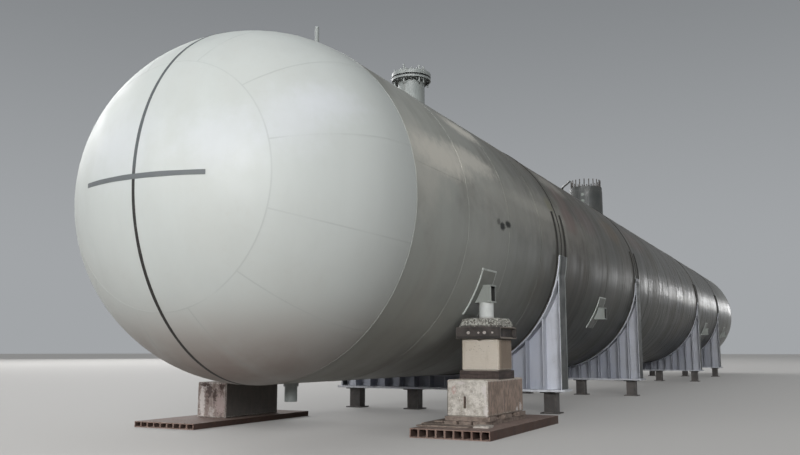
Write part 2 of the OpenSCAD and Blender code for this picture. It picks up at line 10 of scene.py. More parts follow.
import bpy
import numpy as np
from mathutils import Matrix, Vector


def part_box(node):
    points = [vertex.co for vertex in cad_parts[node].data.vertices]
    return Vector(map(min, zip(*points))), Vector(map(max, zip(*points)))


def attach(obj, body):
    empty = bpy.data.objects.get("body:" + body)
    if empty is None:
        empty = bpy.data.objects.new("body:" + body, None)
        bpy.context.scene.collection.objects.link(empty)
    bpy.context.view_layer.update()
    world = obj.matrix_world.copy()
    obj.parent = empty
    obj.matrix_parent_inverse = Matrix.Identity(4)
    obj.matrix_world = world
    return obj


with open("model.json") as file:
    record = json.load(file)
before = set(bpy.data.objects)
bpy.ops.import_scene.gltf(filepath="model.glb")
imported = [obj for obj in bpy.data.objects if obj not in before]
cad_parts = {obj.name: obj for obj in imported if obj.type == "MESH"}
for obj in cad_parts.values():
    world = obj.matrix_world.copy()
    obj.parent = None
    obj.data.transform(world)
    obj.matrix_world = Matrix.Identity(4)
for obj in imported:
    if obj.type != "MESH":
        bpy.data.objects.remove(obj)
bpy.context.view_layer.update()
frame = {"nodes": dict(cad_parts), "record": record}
nodes = frame["nodes"]
rng = np.random.default_rng(11)

# Sizes read from the frame

WELD_WIDTH = 0.009
welds_lo, welds_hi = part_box("shell_girth_welds")
HALF_LEN = round(welds_hi.x - WELD_WIDTH / 2, 4)
RADIUS = round(-HALF_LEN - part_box("near_head_crown")[0].x, 4)
AXIS_Z = round((welds_lo.z + welds_hi.z) / 2, 4)
COURSE_COUNT = 23
COURSE = 2 * HALF_LEN / COURSE_COUNT
CROWN_SEAM = math.radians(39)
PETAL_COUNT = 12
END_PLATE_Y = 1.6085
BASE_PLATE = 0.026


def middle(node):
    """Middle of a node's box."""
    lo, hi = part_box(node)
    return (lo + hi) / 2


SADDLE_X = [middle("saddle_%d" % k).x for k in (1, 2, 3, 4)]
SADDLE_AWAY = (abs(SADDLE_X[0]), abs(SADDLE_X[1]))
SADDLE_BASE_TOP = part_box("saddle_1")[0].z + BASE_PLATE
STAND_X = middle("right_jack").x
STAND_Y = middle("right_jack").y
LUG_X = (abs(STAND_X), 6.535)


# Shapes as whole arrays


def bar(path, up, profile):
    """Closed bar. At each point of the path, point (u, v) of the profile goes to path + u * side + v * up,
    where side is up x along. The profile runs anticlockwise and has an even number of points, so that
    each end is closed by quads between its two halves."""
    along = np.gradient(path, axis=0)
    side = np.cross(up, along)
    side /= np.linalg.norm(side, axis=1)[:, None]
    if profile.ndim == 2:
        profile = np.broadcast_to(profile, (len(path),) + profile.shape)
    points = path[:, None] + profile[..., :1] * side[:, None] + profile[..., 1:] * up[:, None]
    rings, count = points.shape[:2]
    index = np.arange(rings * count).reshape(rings, count)
    low, high = index[:-1], index[1:]
    walls = np.stack([low, np.roll(low, -1, 1), np.roll(high, -1, 1), high], -1).reshape(-1, 4)
    i = np.arange(count // 2 - 1)
    cap = np.stack([i, count - 1 - i, count - 2 - i, i + 1], -1)
    ends = [cap, index[-1][cap[:, ::-1]]]
    return points.reshape(-1, 3), np.concatenate([walls] + ends)


def joined(shapes):
    """Several shapes as one: all points in a row, each shape's faces moved on by the points before it."""
    counts = np.cumsum([0] + [len(points) for points, _ in shapes])
    return (np.concatenate([points for points, _ in shapes]),
            np.concatenate([quads + first for (_, quads), first in zip(shapes, counts)]))


def cap_profile(width, height, depth):
    """Section of a flat bead: half an ellipse above the surface, in six points, and two points below it."""
    angle = np.linspace(0, math.pi, 6)
    arch = np.stack([width / 2 * np.cos(angle), height * np.sin(angle)], 1)
    foot = np.array([[-width / 2, -depth], [width / 2, -depth]])
    return np.concatenate([arch, foot])


def new_object(name, data):
    """New object at the origin, put into the scene."""
    made = bpy.data.objects.new(name, data)
    bpy.context.scene.collection.objects.link(made)
    return made


def add_piece(name, shape, paint, smooth=False):
    """New piece from points and faces, which rides on the root and takes the finish it is given."""
    points, quads = shape
    mesh = bpy.data.meshes.new(name)
    mesh.from_pydata(points.tolist(), [], quads.tolist())
    mesh.materials.append(paint)
    if smooth:
        mesh.shade_smooth()
    piece = new_object(name, mesh)
    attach(piece, "root")


# Camera

EYE = Vector((-19.693, -4.623, 0.784))
EYE_YAW = math.radians(26.80)
EYE_PITCH = math.radians(8.51)
LENS = 37.41


def make_camera():
    """Camera at the eye point, turned by the yaw about Z and raised by the pitch."""
    data = bpy.data.cameras.new("camera")
    data.lens = LENS
    data.sensor_width = 36
    data.clip_start = 0.1
    data.clip_end = 400
    camera = new_object("camera", data)
    flat = math.cos(EYE_PITCH)
    ahead = Vector((flat * math.cos(EYE_YAW), flat * math.sin(EYE_YAW), math.sin(EYE_PITCH)))
    camera.location = EYE
    camera.rotation_euler = ahead.to_track_quat("-Z", "Y").to_euler()
    bpy.context.scene.camera = camera


# Node helpers


class Tree:
    """Short calls for a node tree: each makes one node and returns its output."""

    def __init__(self, tree):
        self.tree = tree

    def node(self, kind, **settings):
        made = self.tree.nodes.new(kind)
        for name, value in settings.items():
            setattr(made, name, value)
        return made

    def feed(self, socket, value):
        if isinstance(value, bpy.types.NodeSocket):
            self.tree.links.new(value, socket)
        elif value is not None:
            socket.default_value = value

    def math(self, operation, a, b=None, clamp=False):
        made = self.node("ShaderNodeMath", operation=operation, use_clamp=clamp)
        for socket, value in zip(made.inputs, (a, b)):
            self.feed(socket, value)
        return made.outputs[0]

    def plus(self, a, b):
        return self.math("ADD", a, b)

    def minus(self, a, b):
        return self.math("SUBTRACT", a, b)

    def times(self, a, b):
        return self.math("MULTIPLY", a, b)

    def absolute(self, a):
        return self.math("ABSOLUTE", a)

    def apart(self, a, b):
        """Distance between two values: their difference without its sign."""
        return self.absolute(self.minus(a, b))

    def mix(self, factor, a, b, blend="MIX"):
        made = self.node("ShaderNodeMix", data_type="RGBA", blend_type=blend)
        self.feed(made.inputs[0], factor)
        self.feed(made.inputs[6], a)
        self.feed(made.inputs[7], b)
        return made.outputs[2]

    def over(self, base, tint, mask, amount=None, blend="MIX"):
        """One colour laid over another as far as the mask says, times the amount where one is given."""
        factor = mask if amount is None else self.times(mask, amount)
        return self.mix(factor, base, tint, blend)

    def stain(self, base, tint, mask, amount=None):
        """One colour multiplied into another as far as the mask and the amount say."""
        return self.over(base, tint, mask, amount, "MULTIPLY")

    def noise(self, vector, scale, detail, rough=0.5, distort=0.0):
        made = self.node("ShaderNodeTexNoise")
        self.feed(made.inputs["Vector"], vector)
        self.feed(made.inputs["Scale"], scale)
        made.inputs["Detail"].default_value = detail
        made.inputs["Roughness"].default_value = rough
        made.inputs["Distortion"].default_value = distort
        return made.outputs["Fac"]

    def ramp(self, value, low, high, to_low=0.0, to_high=1.0):
        made = self.node("ShaderNodeMapRange", interpolation_type="SMOOTHSTEP")
        self.feed(made.inputs["Value"], value)
        for name, number in (("From Min", low), ("From Max", high), ("To Min", to_low), ("To Max", to_high)):
            self.feed(made.inputs[name], number)
        return made.outputs["Result"]

    def mapping(self, vector, scale, place=(0, 0, 0)):
        made = self.node("ShaderNodeMapping")
        self.feed(made.inputs["Vector"], vector)
        made.inputs["Scale"].default_value = scale
        made.inputs["Location"].default_value = place
        return made.outputs["Vector"]

    def here(self):
        return self.node("ShaderNodeTexCoord").outputs["Object"]


def colour(r, g, b):
    """Colour as the render shows it, 0 to 255, turned into linear light."""
    def linear(v):
        v = v / 255
        return v / 12.92 if v <= 0.04045 else ((v + 0.055) / 1.055) ** 2.4
    return (linear(r), linear(g), linear(b), 1.0)


def new_group(name, inputs, outputs):
    """Empty shader group whose sockets are numbers: inputs by name and value, outputs by name."""
    group = bpy.data.node_groups.new(name, "ShaderNodeTree")
    for label, value in inputs.items():
        socket = group.interface.new_socket(name=label, in_out="INPUT", socket_type="NodeSocketFloat")
        socket.default_value = value
    for label in outputs:
        group.interface.new_socket(name=label, in_out="OUTPUT", socket_type="NodeSocketFloat")
    t = Tree(group)
    return group, t, t.node("NodeGroupInput").outputs, t.node("NodeGroupOutput").inputs


def grime_group():
    """Mask of soft dirt: large clouds, made weaker between fine specks. Clouds and specks are also given."""
    group, t, given, result = new_group("grime", {"Size": 1.0, "Amount": 0.5}, ("Mask", "Clouds", "Specks"))
    at = t.here()
    clouds = t.noise(at, given["Size"], 6, 0.62, 0.4)
    specks = t.noise(at, t.times(given["Size"], 24.0), 3, 0.6)
    soft = t.ramp(clouds, 0.42, 0.72)
    fine = t.ramp(specks, 0.55, 0.75)
    both = t.times(soft, t.plus(0.55, t.times(fine, 0.45)))
    t.feed(result["Mask"], t.math("MULTIPLY", both, given["Amount"], clamp=True))
    t.feed(result["Clouds"], clouds)
    t.feed(result["Specks"], specks)
    return group


def grain_group():
    """Sprayed paint: the height of its fine orange peel, and its shine in much broader patches."""
    group, t, given, result = new_group("spray_grain", {"Size": 60.0}, ("Height", "Shine"))
    at = t.here()
    t.feed(result["Height"], t.noise(at, given["Size"], 4, 0.55))
    t.feed(result["Shine"], t.noise(at, t.times(given["Size"], 0.06), 4, 0.6))
    return group


def edge_group():
    """Mask of worn edges: where the true and the rounded normal differ, broken up by noise."""
    group, t, given, result = new_group("worn_edges", {"Width": 0.01, "Break": 30.0}, ("Mask",))
    bevel = t.node("ShaderNodeBevel", samples=4)
    t.feed(bevel.inputs["Radius"], given["Width"])
    geometry = t.node("ShaderNodeNewGeometry")
    dot = t.node("ShaderNodeVectorMath", operation="DOT_PRODUCT")
    t.feed(dot.inputs[0], bevel.outputs[0])
    t.feed(dot.inputs[1], geometry.outputs["Normal"])
    sharp = t.ramp(dot.outputs["Value"], 0.9, 0.995, 1.0, 0.0)
    broken = t.ramp(t.noise(t.here(), given["Break"], 4, 0.65), 0.35, 0.6)
    t.feed(result["Mask"], t.times(sharp, broken))
    return group


GRIME = grime_group()
GRAIN = grain_group()
EDGES = edge_group()


def use(t, group, **values):
    """Outputs of a shader group that is placed with its own values."""
    made = t.node("ShaderNodeGroup", node_tree=group)
    for name, value in values.items():
        t.feed(made.inputs[name], value)
    return made.outputs


def new_material(name):
    """New material, with short calls for its tree and the sockets of its shader."""
    material = bpy.data.materials.new(name)
    material.use_nodes = True
    t = Tree(material.node_tree)
    return material, t, material.node_tree.nodes["Principled BSDF"].inputs


def bump(t, target, height, strength, distance, below=None):
    """Normal of a surface raised by a height, on top of the bump below it, led to the target if any."""
    made = t.node("ShaderNodeBump")
    made.inputs["Strength"].default_value = strength
    made.inputs["Distance"].default_value = distance
    t.feed(made.inputs["Height"], height)
    if below is not None:
        t.feed(made.inputs["Normal"], below)
    if target is not None:
        t.feed(target, made.outputs["Normal"])
    return made.outputs["Normal"]


def axes(t, vector):
    """The X, Y and Z parts of a vector."""
    made = t.node("ShaderNodeSeparateXYZ")
    t.feed(made.inputs[0], vector)
    return made.outputs[0], made.outputs[1], made.outputs[2]


def finish(t, s, base, value, low, high, height, strength, distance, below=None):
    """Last links of a material: its colour, its roughness, which goes from low to high as the value rises
    from 0.3 to 0.7, and its bump."""
    t.feed(s["Base Color"], base)
    t.feed(s["Roughness"], t.ramp(value, 0.3, 0.7, low, high))
    bump(t, s["Normal"], height, strength, distance, below)


def facing(t):
    """How far the surface faces along X, Y and Z, each from -1 to 1."""
    return axes(t, t.node("ShaderNodeNewGeometry").outputs["Normal"])


def nearest(t, value, places):
    """Distance from a value to the nearer of two places."""
    return t.math("MINIMUM", *[t.apart(value, place) for place in places])


def wear(t, base, tint, amount, width, breaks):
    """Edges of a base colour worn to a tint: the mask of worn edges times an amount."""
    return t.over(base, tint, use(t, EDGES, Width=width, Break=breaks)["Mask"], amount)


def seam_distance(t, along, spacing, offset):
    """Distance from a place to the nearest seam, where seams stand at equal steps from an offset."""
    phase = t.math("DIVIDE", t.minus(along, offset), spacing)
    off = t.minus(t.math("FRACT", t.plus(phase, 0.5)), 0.5)
    return t.times(t.absolute(off), spacing)


# Materials

right_lo, right_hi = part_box("right_lower_block")
left_lo, left_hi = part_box("left_lower_block")
LOWER_TOP = right_hi.z + 0.005
BED_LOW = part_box("right_grillage")[1].z
BED_TOP = BED_LOW + 0.080
CHALK = colour(206, 200, 196)
PINK = colour(186, 158, 150)
DULL_PINK = colour(170, 154, 150)
DIRT = colour(62, 46, 42)
SPLASHES = [
    ((right_lo.x, right_hi.y - 0.076, right_hi.z - 0.095), (0.02, 0.016, 0.026), PINK),
    ((right_lo.x, right_hi.y - 0.080, right_hi.z - 0.090), (0.02, 0.008, 0.012), CHALK),
    ((right_lo.x, right_lo.y + 0.036, right_hi.z - 0.085), (0.02, 0.015, 0.036), CHALK),
    ((right_lo.x, right_lo.y + 0.024, right_hi.z - 0.150), (0.02, 0.009, 0.030), CHALK),
    ((right_lo.x, right_lo.y + 0.020, right_lo.z + 0.060), (0.02, 0.013, 0.045), CHALK),
    ((right_lo.x, right_hi.y - 0.150, right_hi.z - 0.030), (0.02, 0.034, 0.010), CHALK),
    ((right_hi.x - 0.09, right_lo.y, right_lo.z + 0.045), (0.026, 0.02, 0.030), CHALK),
    ((right_hi.x - 0.20, right_lo.y, right_lo.z + 0.030), (0.020, 0.02, 0.022), CHALK),
    ((left_lo.x, left_hi.y - 0.072, left_lo.z + 0.180), (0.02, 0.026, 0.120), CHALK),
    ((left_lo.x, left_hi.y - 0.170, left_hi.z - 0.090), (0.02, 0.034, 0.050), DIRT),
    ((left_lo.x, left_hi.y - 0.250, left_hi.z - 0.150), (0.02, 0.024, 0.055), DIRT),
    ((left_lo.x, left_hi.y - 0.350, left_hi.z - 0.045), (0.02, 0.026, 0.024), DIRT),
    ((left_lo.x, left_hi.y - 0.100, left_hi.z - 0.025), (0.02, 0.050, 0.018), DIRT),
    ((left_lo.x, left_hi.y - 0.330, left_lo.z + 0.150), (0.02, 0.050, 0.070), DULL_PINK),
]
# Shell grey at its bottom and at its top: darker below as painted shade, paler above as painted light.
SHELL_LOW = colour(48, 52, 52)
SHELL_HIGH = colour(88, 83, 76)
# Painted light: the paler grey that the shell takes near the heads.
SHELL_END_LIT = colour(186, 189, 183)
WAVY = (-7.5, -1.0)


def spot(t, at, centre, size, wobble, soft):
    """Mask of one blotch: an ellipsoid of three half lengths, whose edge is moved by noise."""
    away = t.node("ShaderNodeVectorMath", operation="SUBTRACT")
    t.feed(away.inputs[0], at)
    away.inputs[1].default_value = centre
    shape = t.node("ShaderNodeVectorMath", operation="DIVIDE")
    t.feed(shape.inputs[0], away.outputs[0])
    shape.inputs[1].default_value = size
    length = t.node("ShaderNodeVectorMath", operation="LENGTH")
    t.feed(length.inputs[0], shape.outputs[0])
    rough = t.times(t.minus(t.noise(at, 1.6 / min(size), 4, 0.6), 0.5), 2 * wobble)
    return t.ramp(t.plus(length.outputs["Value"], rough), 1 - soft, 1 + soft, 1.0, 0.0)


def on_shell(x, angle):
    """Point on the shell's right side, at an angle in degrees above the horizontal."""
    a = math.radians(angle)
    return (x, -RADIUS * math.cos(a), AXIS_Z + RADIUS * math.sin(a))


# Painted highlights: pale patches where the shell mirrors the lights, as centre, half sizes and strength.
SHELL_HIGHLIGHTS = [
    (on_shell(-9.90, 13), (2.6, 0.6, 0.32), 0.2),
    (on_shell(-12.75, 17), (0.62, 0.4, 0.15), 1.0),
    (on_shell(-11.95, 22.5), (0.62, 0.4, 0.11), 0.8),
    (on_shell(-11.45, 42), (0.42, 0.4, 0.10), 0.95),
    (on_shell(-8.20, 41), (0.55, 0.4, 0.14), 0.35),
    (on_shell(-9.80, 15), (1.05, 0.4, 0.09), 0.2),
    (on_shell(-13.30, 14), (0.50, 0.4, 0.42), 0.4),
    (on_shell(2.4, -2), (2.6, 0.4, 0.09), 0.3),
    (on_shell(6.4, 0), (2.0, 0.4, 0.06), 0.3),
]
TINTS = [
    (on_shell(-8.35, 18), (0.34, 0.4, 0.20), 0.6, colour(116, 98, 94)),
    (on_shell(-8.30, 31), (0.30, 0.4, 0.20), 0.6, colour(112, 98, 92)),
    (on_shell(-9.22, 21), (0.15, 0.3, 0.10), 0.6, colour(122, 120, 98)),
    (on_shell(-7.20, 24), (0.50, 0.4, 0.22), 0.6, colour(106, 94, 90)),
    (on_shell(-5.40, 27), (0.60, 0.4, 0.20), 0.6, colour(110, 98, 84)),
    (on_shell(-3.20, 30), (0.80, 0.4, 0.20), 0.6, colour(100, 86, 78)),
    (on_shell(-11.31, 0.3), (0.075, 0.1, 0.042), 1.0, colour(30, 30, 27)),
    (on_shell(-11.13, 1.9), (0.085, 0.1, 0.036), 1.0, colour(30, 30, 27)),
    (on_shell(-11.43, 1.6), (0.050, 0.1, 0.034), 0.7, colour(62, 62, 58)),
]
STRIP_TOP = AXIS_Z + RADIUS * math.sin(math.radians(17.3))
STRIP_OUT = 0.183


def shell_paint():
    """Grey primer on rolled plate: tone by course, rings round the shell, seams and dust, with painted shade
    towards the bottom, painted light towards the top and near the heads, and painted highlights where the
    shell mirrors the lights.
    Between the two places in WAVY the plate becomes less even and a little glossier."""
    material, t, s = new_material("shell_paint")
    at = t.here()
    x, _, z = axes(t, at)
    along = t.absolute(x)
    course = t.math("FLOOR", t.math("DIVIDE", t.plus(x, HALF_LEN), COURSE))
    tone = t.node("ShaderNodeTexWhiteNoise", noise_dimensions="1D")
    t.feed(tone.inputs["W"], course)
    rings = t.noise(t.mapping(at, (1.0, 0.05, 0.05)), 5.0, 6, 0.62)
    wide_rings = t.noise(t.mapping(at, (1.0, 0.16, 0.16), (3, 0, 0)), 1.3, 4, 0.55)
    clouds = t.noise(t.mapping(at, (1.0, 0.8, 0.8), (0, 5, 0)), 0.9, 5, 0.6, 0.5)
    grime = use(t, GRIME, Size=0.9, Amount=0.8)
    up = t.math("DIVIDE", t.minus(z, AXIS_Z), RADIUS)
    end = t.ramp(along, 8.2, HALF_LEN)
    # Painted shade and light: the shell darker towards its bottom and paler towards its top.
    base = t.mix(t.ramp(up, -0.9, 0.9), SHELL_LOW, SHELL_HIGH)
    # Painted light: the shell paler near both heads, more so at the near end.
    base = t.over(base, SHELL_END_LIT, end, t.ramp(x, -1.0, 1.0, 0.75, 0.4))
    base = t.over(base, colour(104, 110, 104), tone.outputs[0], 0.2)
    uneven = t.ramp(x, *WAVY, 0.3, 1.0)
    base = t.over(base, colour(84, 88, 85), t.ramp(rings, 0.4, 0.75, 0.0, 0.15), uneven)
    base = t.over(base, colour(136, 137, 130), t.ramp(wide_rings, 0.42, 0.7, 0.0, 0.12))
    base = t.over(base, colour(88, 86, 81), t.ramp(clouds, 0.45, 0.7, 0.0, 0.4))
    base = t.over(base, colour(130, 118, 104), grime["Mask"], 0.32)
    # Painted highlights of the lights mirrored in the shell.
    for place, size, strength in SHELL_HIGHLIGHTS:
        base = t.over(base, colour(202, 199, 189), spot(t, at, place, size, 0.7, 0.6), strength)
    for place, size, strength, tint in TINTS:
        base = t.over(base, tint, spot(t, at, place, size, 0.6, 0.4), strength)
    beside = t.apart(nearest(t, along, SADDLE_AWAY), STRIP_OUT)
    # Dark band painted on the shell beside each rubber strip, below the strip's top, which widens the
    # strip's dark look.
    strip_edge_dark = t.ramp(beside, 0.030, 0.056, 0.85, 0.0)
    base = t.over(base, colour(46, 46, 43), strip_edge_dark, t.math("LESS_THAN", z, STRIP_TOP))
    seam = seam_distance(t, x, COURSE, -HALF_LEN)
    faint = t.ramp(grime["Clouds"], 0.35, 0.6, 0.1, 0.6)
    band = t.times(t.ramp(seam, 0.03, 0.10, 1.0, 0.0), faint)
    base = t.over(base, colour(150, 154, 149), band, 0.07)
    base = t.over(base, colour(168, 173, 168), t.ramp(seam, 0.006, 0.011, 0.10, 0.0), faint)
    end_line = t.ramp(along, HALF_LEN - 0.012, HALF_LEN - 0.006, 0.0, 0.22)
    base = t.over(base, colour(204, 209, 205), end_line)
    t.feed(s["Base Color"], base)
    grain = use(t, GRAIN, Size=90.0)
    shine = t.plus(t.ramp(rings, 0.3, 0.7, 0.34, 0.46), t.times(grime["Mask"], 0.25))
    t.feed(s["Roughness"], t.times(shine, t.ramp(x, *WAVY, 1.0, 0.8)))
    s["Specular IOR Level"].default_value = 0.12
    dents = t.noise(t.mapping(at, (1.0, 0.45, 0.45), (7, 0, 0)), 3.6, 4, 0.55)
    ripple = bump(t, None, t.times(rings, uneven), 0.2, 0.008)
    waves = bump(t, None, t.times(wide_rings, uneven), 0.35, 0.022, ripple)
    waves = bump(t, None, t.times(dents, t.ramp(x, *WAVY)), 1.0, 0.035, waves)
    bump(t, s["Normal"], grain["Height"], 0.15, 0.002, waves)
    return material


pads_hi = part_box("lug_pads")[1]
PAD_HALF = pads_hi.x - LUG_X[0]


def pad_paint():
    """The shell's grey on a doubler plate, with a pale line of primer along its edges."""
    material, t, s = new_material("pad_paint")
    at = t.here()
    grime = use(t, GRIME, Size=1.5, Amount=0.8)
    base = t.mix(t.ramp(grime["Clouds"], 0.3, 0.7), colour(96, 100, 96), colour(118, 121, 115))
    base = t.over(base, colour(128, 120, 108), grime["Mask"], 0.4)
    x, _, z = axes(t, at)
    off = nearest(t, t.absolute(x), LUG_X)
    edge = t.math("MAXIMUM", t.ramp(off, PAD_HALF - 0.022, PAD_HALF - 0.010),
                  t.ramp(z, pads_hi.z - 0.026, pads_hi.z - 0.014))
    broken = t.ramp(t.noise(at, 9.0, 4, 0.6), 0.3, 0.55, 0.35, 0.85)
    base = t.over(base, colour(206, 212, 208), edge, broken)
    grain = use(t, GRAIN, Size=90.0)
    finish(t, s, base, grain["Shine"], 0.36, 0.5, grain["Height"], 0.15, 0.002)
    return material


# Painted highlights on the near head: centres and half sizes of pale bluish patches where it mirrors the
# lights.
HEAD_HIGHLIGHTS = [
    ((-15.018, 0.207, 2.396), (0.30, 0.34, 0.26)),
    ((-14.853, -0.700, 2.390), (0.34, 0.28, 0.20)),
    ((-14.527, -1.109, 2.570), (0.30, 0.22, 0.22)),
    ((-14.250, -1.250, 2.760), (0.30, 0.20, 0.14)),
]


def head_paint():
    """Pale primer on the pressed plates of the heads, with a painted reflection of the floor that turns
    their lower part pinkish, painted highlights where they mirror the lights, and overspray at the seams.
    """
    material, t, s = new_material("head_paint")
    at = t.here()
    x, y, z = axes(t, at)
    grime = use(t, GRIME, Size=0.7, Amount=0.6)
    streaks = t.noise(t.mapping(at, (1.0, 1.0, 0.22)), 3.0, 5, 0.6)
    # Painted reflection of the floor: the lower part of each head turns pinkish brown.
    height = t.ramp(z, AXIS_Z - RADIUS, AXIS_Z - 0.5 * RADIUS)
    base = t.mix(height, colour(150, 133, 126), colour(200, 205, 202))
    base = t.over(base, colour(188, 193, 190), t.ramp(streaks, 0.4, 0.75, 0.0, 0.3))
    base = t.over(base, colour(184, 181, 172), grime["Mask"], 0.5)
    near_seam = t.ramp(t.absolute(x), HALF_LEN + 0.8, HALF_LEN + 0.05, 0.0, 0.42)
    base = t.over(base, colour(160, 164, 161), near_seam)
    # Painted highlights.
    for place, size in HEAD_HIGHLIGHTS:
        base = t.over(base, colour(226, 229, 238), spot(t, at, place, size, 0.8, 0.9), 0.3)
    up = t.minus(z, AXIS_Z)
    across = t.math("SQRT", t.plus(t.times(y, y), t.times(up, up)))
    from_pole = t.math("ARCTAN2", across, t.minus(t.absolute(x), HALF_LEN))
    crown = t.times(t.apart(from_pole, CROWN_SEAM), RADIUS)
    around = t.math("ARCTAN2", y, up)
    step = 2 * math.pi / PETAL_COUNT
    petal = t.times(seam_distance(t, around, step, step / 2), across)
    petal = t.plus(petal, t.ramp(from_pole, CROWN_SEAM - 0.01, CROWN_SEAM, 1.0, 0.0))
    seam = t.math("MINIMUM", crown, petal)
    faint = t.ramp(t.noise(at, 1.7, 3), 0.38, 0.62, 0.12, 0.7)
    base = t.over(base, colour(158, 163, 161), t.ramp(seam, 0.003, 0.009, 0.5, 0.0), faint)
    base = t.over(base, colour(200, 205, 202), t.ramp(seam, 0.02, 0.09, 0.2, 0.0), faint)
    grain = use(t, GRAIN, Size=70.0)
    soft = bump(t, None, t.noise(at, 1.3, 3, 0.5), 0.25, 0.03)
    finish(t, s, base, grain["Shine"], 0.42, 0.55, grain["Height"], 0.12, 0.002, soft)
    return material


lug_lo, lug_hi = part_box("lug_brackets")
LUG_HALF = 0.068
LUG_PLATE = 0.014
LUG_MARGIN = 0.001
# Near-black for the joint of the two flanges and for the painted shadow under the lower flange.
FLANGE_DARK = colour(56, 58, 58)
FLANGE_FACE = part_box("nozzle_blind_flange")[0].z
DOME_X = middle("dome_barrel").x
DOME_R = 0.365
DOME_BARE_Z = (4.273, 4.133)
# Turn about the dome and height of the painted highlight on the barrel's edge.
DOME_RIM_LIGHT_TURN = math.radians(287)
DOME_RIM_LIGHT_Z = 4.10


def lug_slot_shade(t, at, base):
    """Painted shade: near-black colour between the two plates of each lug, where the slot lies in shadow."""
    x, _, z = axes(t, at)
    off = nearest(t, t.absolute(x), LUG_X)
    wall = LUG_PLATE - LUG_MARGIN
    inside = t.math("LESS_THAN", off, LUG_HALF - wall)
    inside = t.times(inside, t.math("GREATER_THAN", z, lug_lo.z + wall))
    inside = t.times(inside, t.math("LESS_THAN", z, lug_hi.z - wall))
    return t.over(base, colour(38, 38, 36), inside)


def bolt_shadow(t, at, base):
    """Painted shadow: the nuts and bolt ends under the lower flange made dark."""
    z = axes(t, at)[2]
    return t.over(base, FLANGE_DARK, t.ramp(z, FLANGE_FACE - 0.012, FLANGE_FACE - 0.002, 0.8, 0.0))


def flange_gap(t, at, base):
    """Dark stain along the joint of the two flanges."""
    off = t.apart(axes(t, at)[2], FLANGE_FACE)
    return t.over(base, FLANGE_DARK, t.ramp(off, 0.007, 0.012, 0.9, 0.0))


def dome_marks(t, at, base):
    """Two bare patches in the dome's paint, and a painted highlight: a pale upright line on the barrel's
    right edge, where a rim light falls.
    """
    for level in DOME_BARE_Z:
        bare = spot(t, at, (DOME_X - DOME_R, -0.017, level), (0.05, 0.036, 0.030), 0.8, 0.3)
        base = t.over(base, colour(138, 146, 140), bare, 0.8)
    # Painted highlight: pale upright line where a rim light falls on the barrel's edge.
    seam = (DOME_X + DOME_R * math.cos(DOME_RIM_LIGHT_TURN), DOME_R * math.sin(DOME_RIM_LIGHT_TURN), DOME_RIM_LIGHT_Z)
    return t.over(base, colour(176, 182, 178), spot(t, at, seam, (0.02, 0.02, 0.20), 0.1, 0.2), 0.8)


def plate_paint(name, light, dark, dirt, rough, edge, marks):
    """Primer on small plates: two tones in clouds, dirt, worn edges in a tone of their own, and marks,
    which is a function that adds what one piece alone has."""
    material, t, s = new_material(name)
    at = t.here()
    grime = use(t, GRIME, Size=2.2, Amount=0.9)
    runs = t.noise(t.mapping(at, (1.0, 1.0, 0.12)), 9.0, 5, 0.62)
    base = t.mix(t.ramp(grime["Clouds"], 0.3, 0.7), dark, light)
    base = t.over(base, dirt, t.ramp(runs, 0.45, 0.8, 0.0, 0.45))
    base = t.over(base, dirt, grime["Mask"], 0.6)
    base = wear(t, base, edge, 0.7, 0.008, 14.0)
    grain = use(t, GRAIN, Size=110.0)
    finish(t, s, marks(t, at, base), grain["Shine"], rough - 0.07, rough + 0.1, grain["Height"], 0.2, 0.002)
    return material


def mortar(t, at):
    """Colour and height of crumbled mortar: pale lumps with dark gaps between them."""
    lumps = t.noise(at, 58.0, 6, 0.72)
    gaps = t.noise(at, 95.0, 3, 0.6)
    tone = t.mix(t.ramp(lumps, 0.40, 0.60), colour(80, 77, 70), colour(198, 198, 190))
    tone = t.over(tone, colour(62, 60, 56), t.ramp(gaps, 0.56, 0.66, 0.0, 0.85))
    return tone, t.minus(lumps, t.times(gaps, 0.5))


def mortar_crumbs():
    """Loose lumps of the same mortar as the bed."""
    material, t, s = new_material("mortar_crumbs")
    at = t.here()
    tone, height = mortar(t, at)
    t.feed(s["Base Color"], t.mix(0.2, tone, colour(170, 168, 160)))
    s["Roughness"].default_value = 0.95
    bump(t, s["Normal"], height, 0.6, 0.006)
    return material


def jack_paint():
    """Scuffed pale paint on the prop, and crumbled mortar on the bed under it, with a painted shadow along
    the bed's foot.
    """
    material, t, s = new_material("jack_paint")
    at = t.here()
    z = axes(t, at)[2]
    grime = use(t, GRIME, Size=5.0, Amount=1.0)
    runs = t.noise(t.mapping(at, (1.0, 1.0, 0.15)), 22.0, 5, 0.62)
    paint = t.mix(t.ramp(grime["Clouds"], 0.3, 0.7), colour(212, 215, 213), colour(192, 195, 192))
    paint = t.over(paint, colour(142, 138, 128), t.ramp(runs, 0.5, 0.75, 0.0, 0.5))
    foot = t.ramp(t.plus(z, t.times(runs, 0.04)), BED_TOP + 0.02, BED_TOP + 0.06, 0.6, 0.0)
    paint = t.over(paint, colour(112, 98, 86), foot)
    paint = wear(t, paint, colour(224, 226, 222), 0.6, 0.008, 14.0)
    tone, height = mortar(t, at)
    bed = t.math("LESS_THAN", z, BED_TOP + 0.001)
    # Painted shadow along the foot of the bed.
    under = t.ramp(z, BED_LOW + 0.010, BED_LOW + 0.020, 0.85, 0.0)
    tone = t.over(tone, colour(58, 54, 51), under)
    t.feed(s["Base Color"], t.mix(bed, paint, tone))
    t.feed(s["Roughness"], t.plus(0.55, t.times(bed, 0.4)))
    grain = use(t, GRAIN, Size=110.0)
    raised = t.times(height, t.plus(t.times(bed, 5.0), 0.2))
    bump(t, s["Normal"], t.plus(raised, t.times(grain["Height"], 0.3)), 0.5, 0.003)
    return material


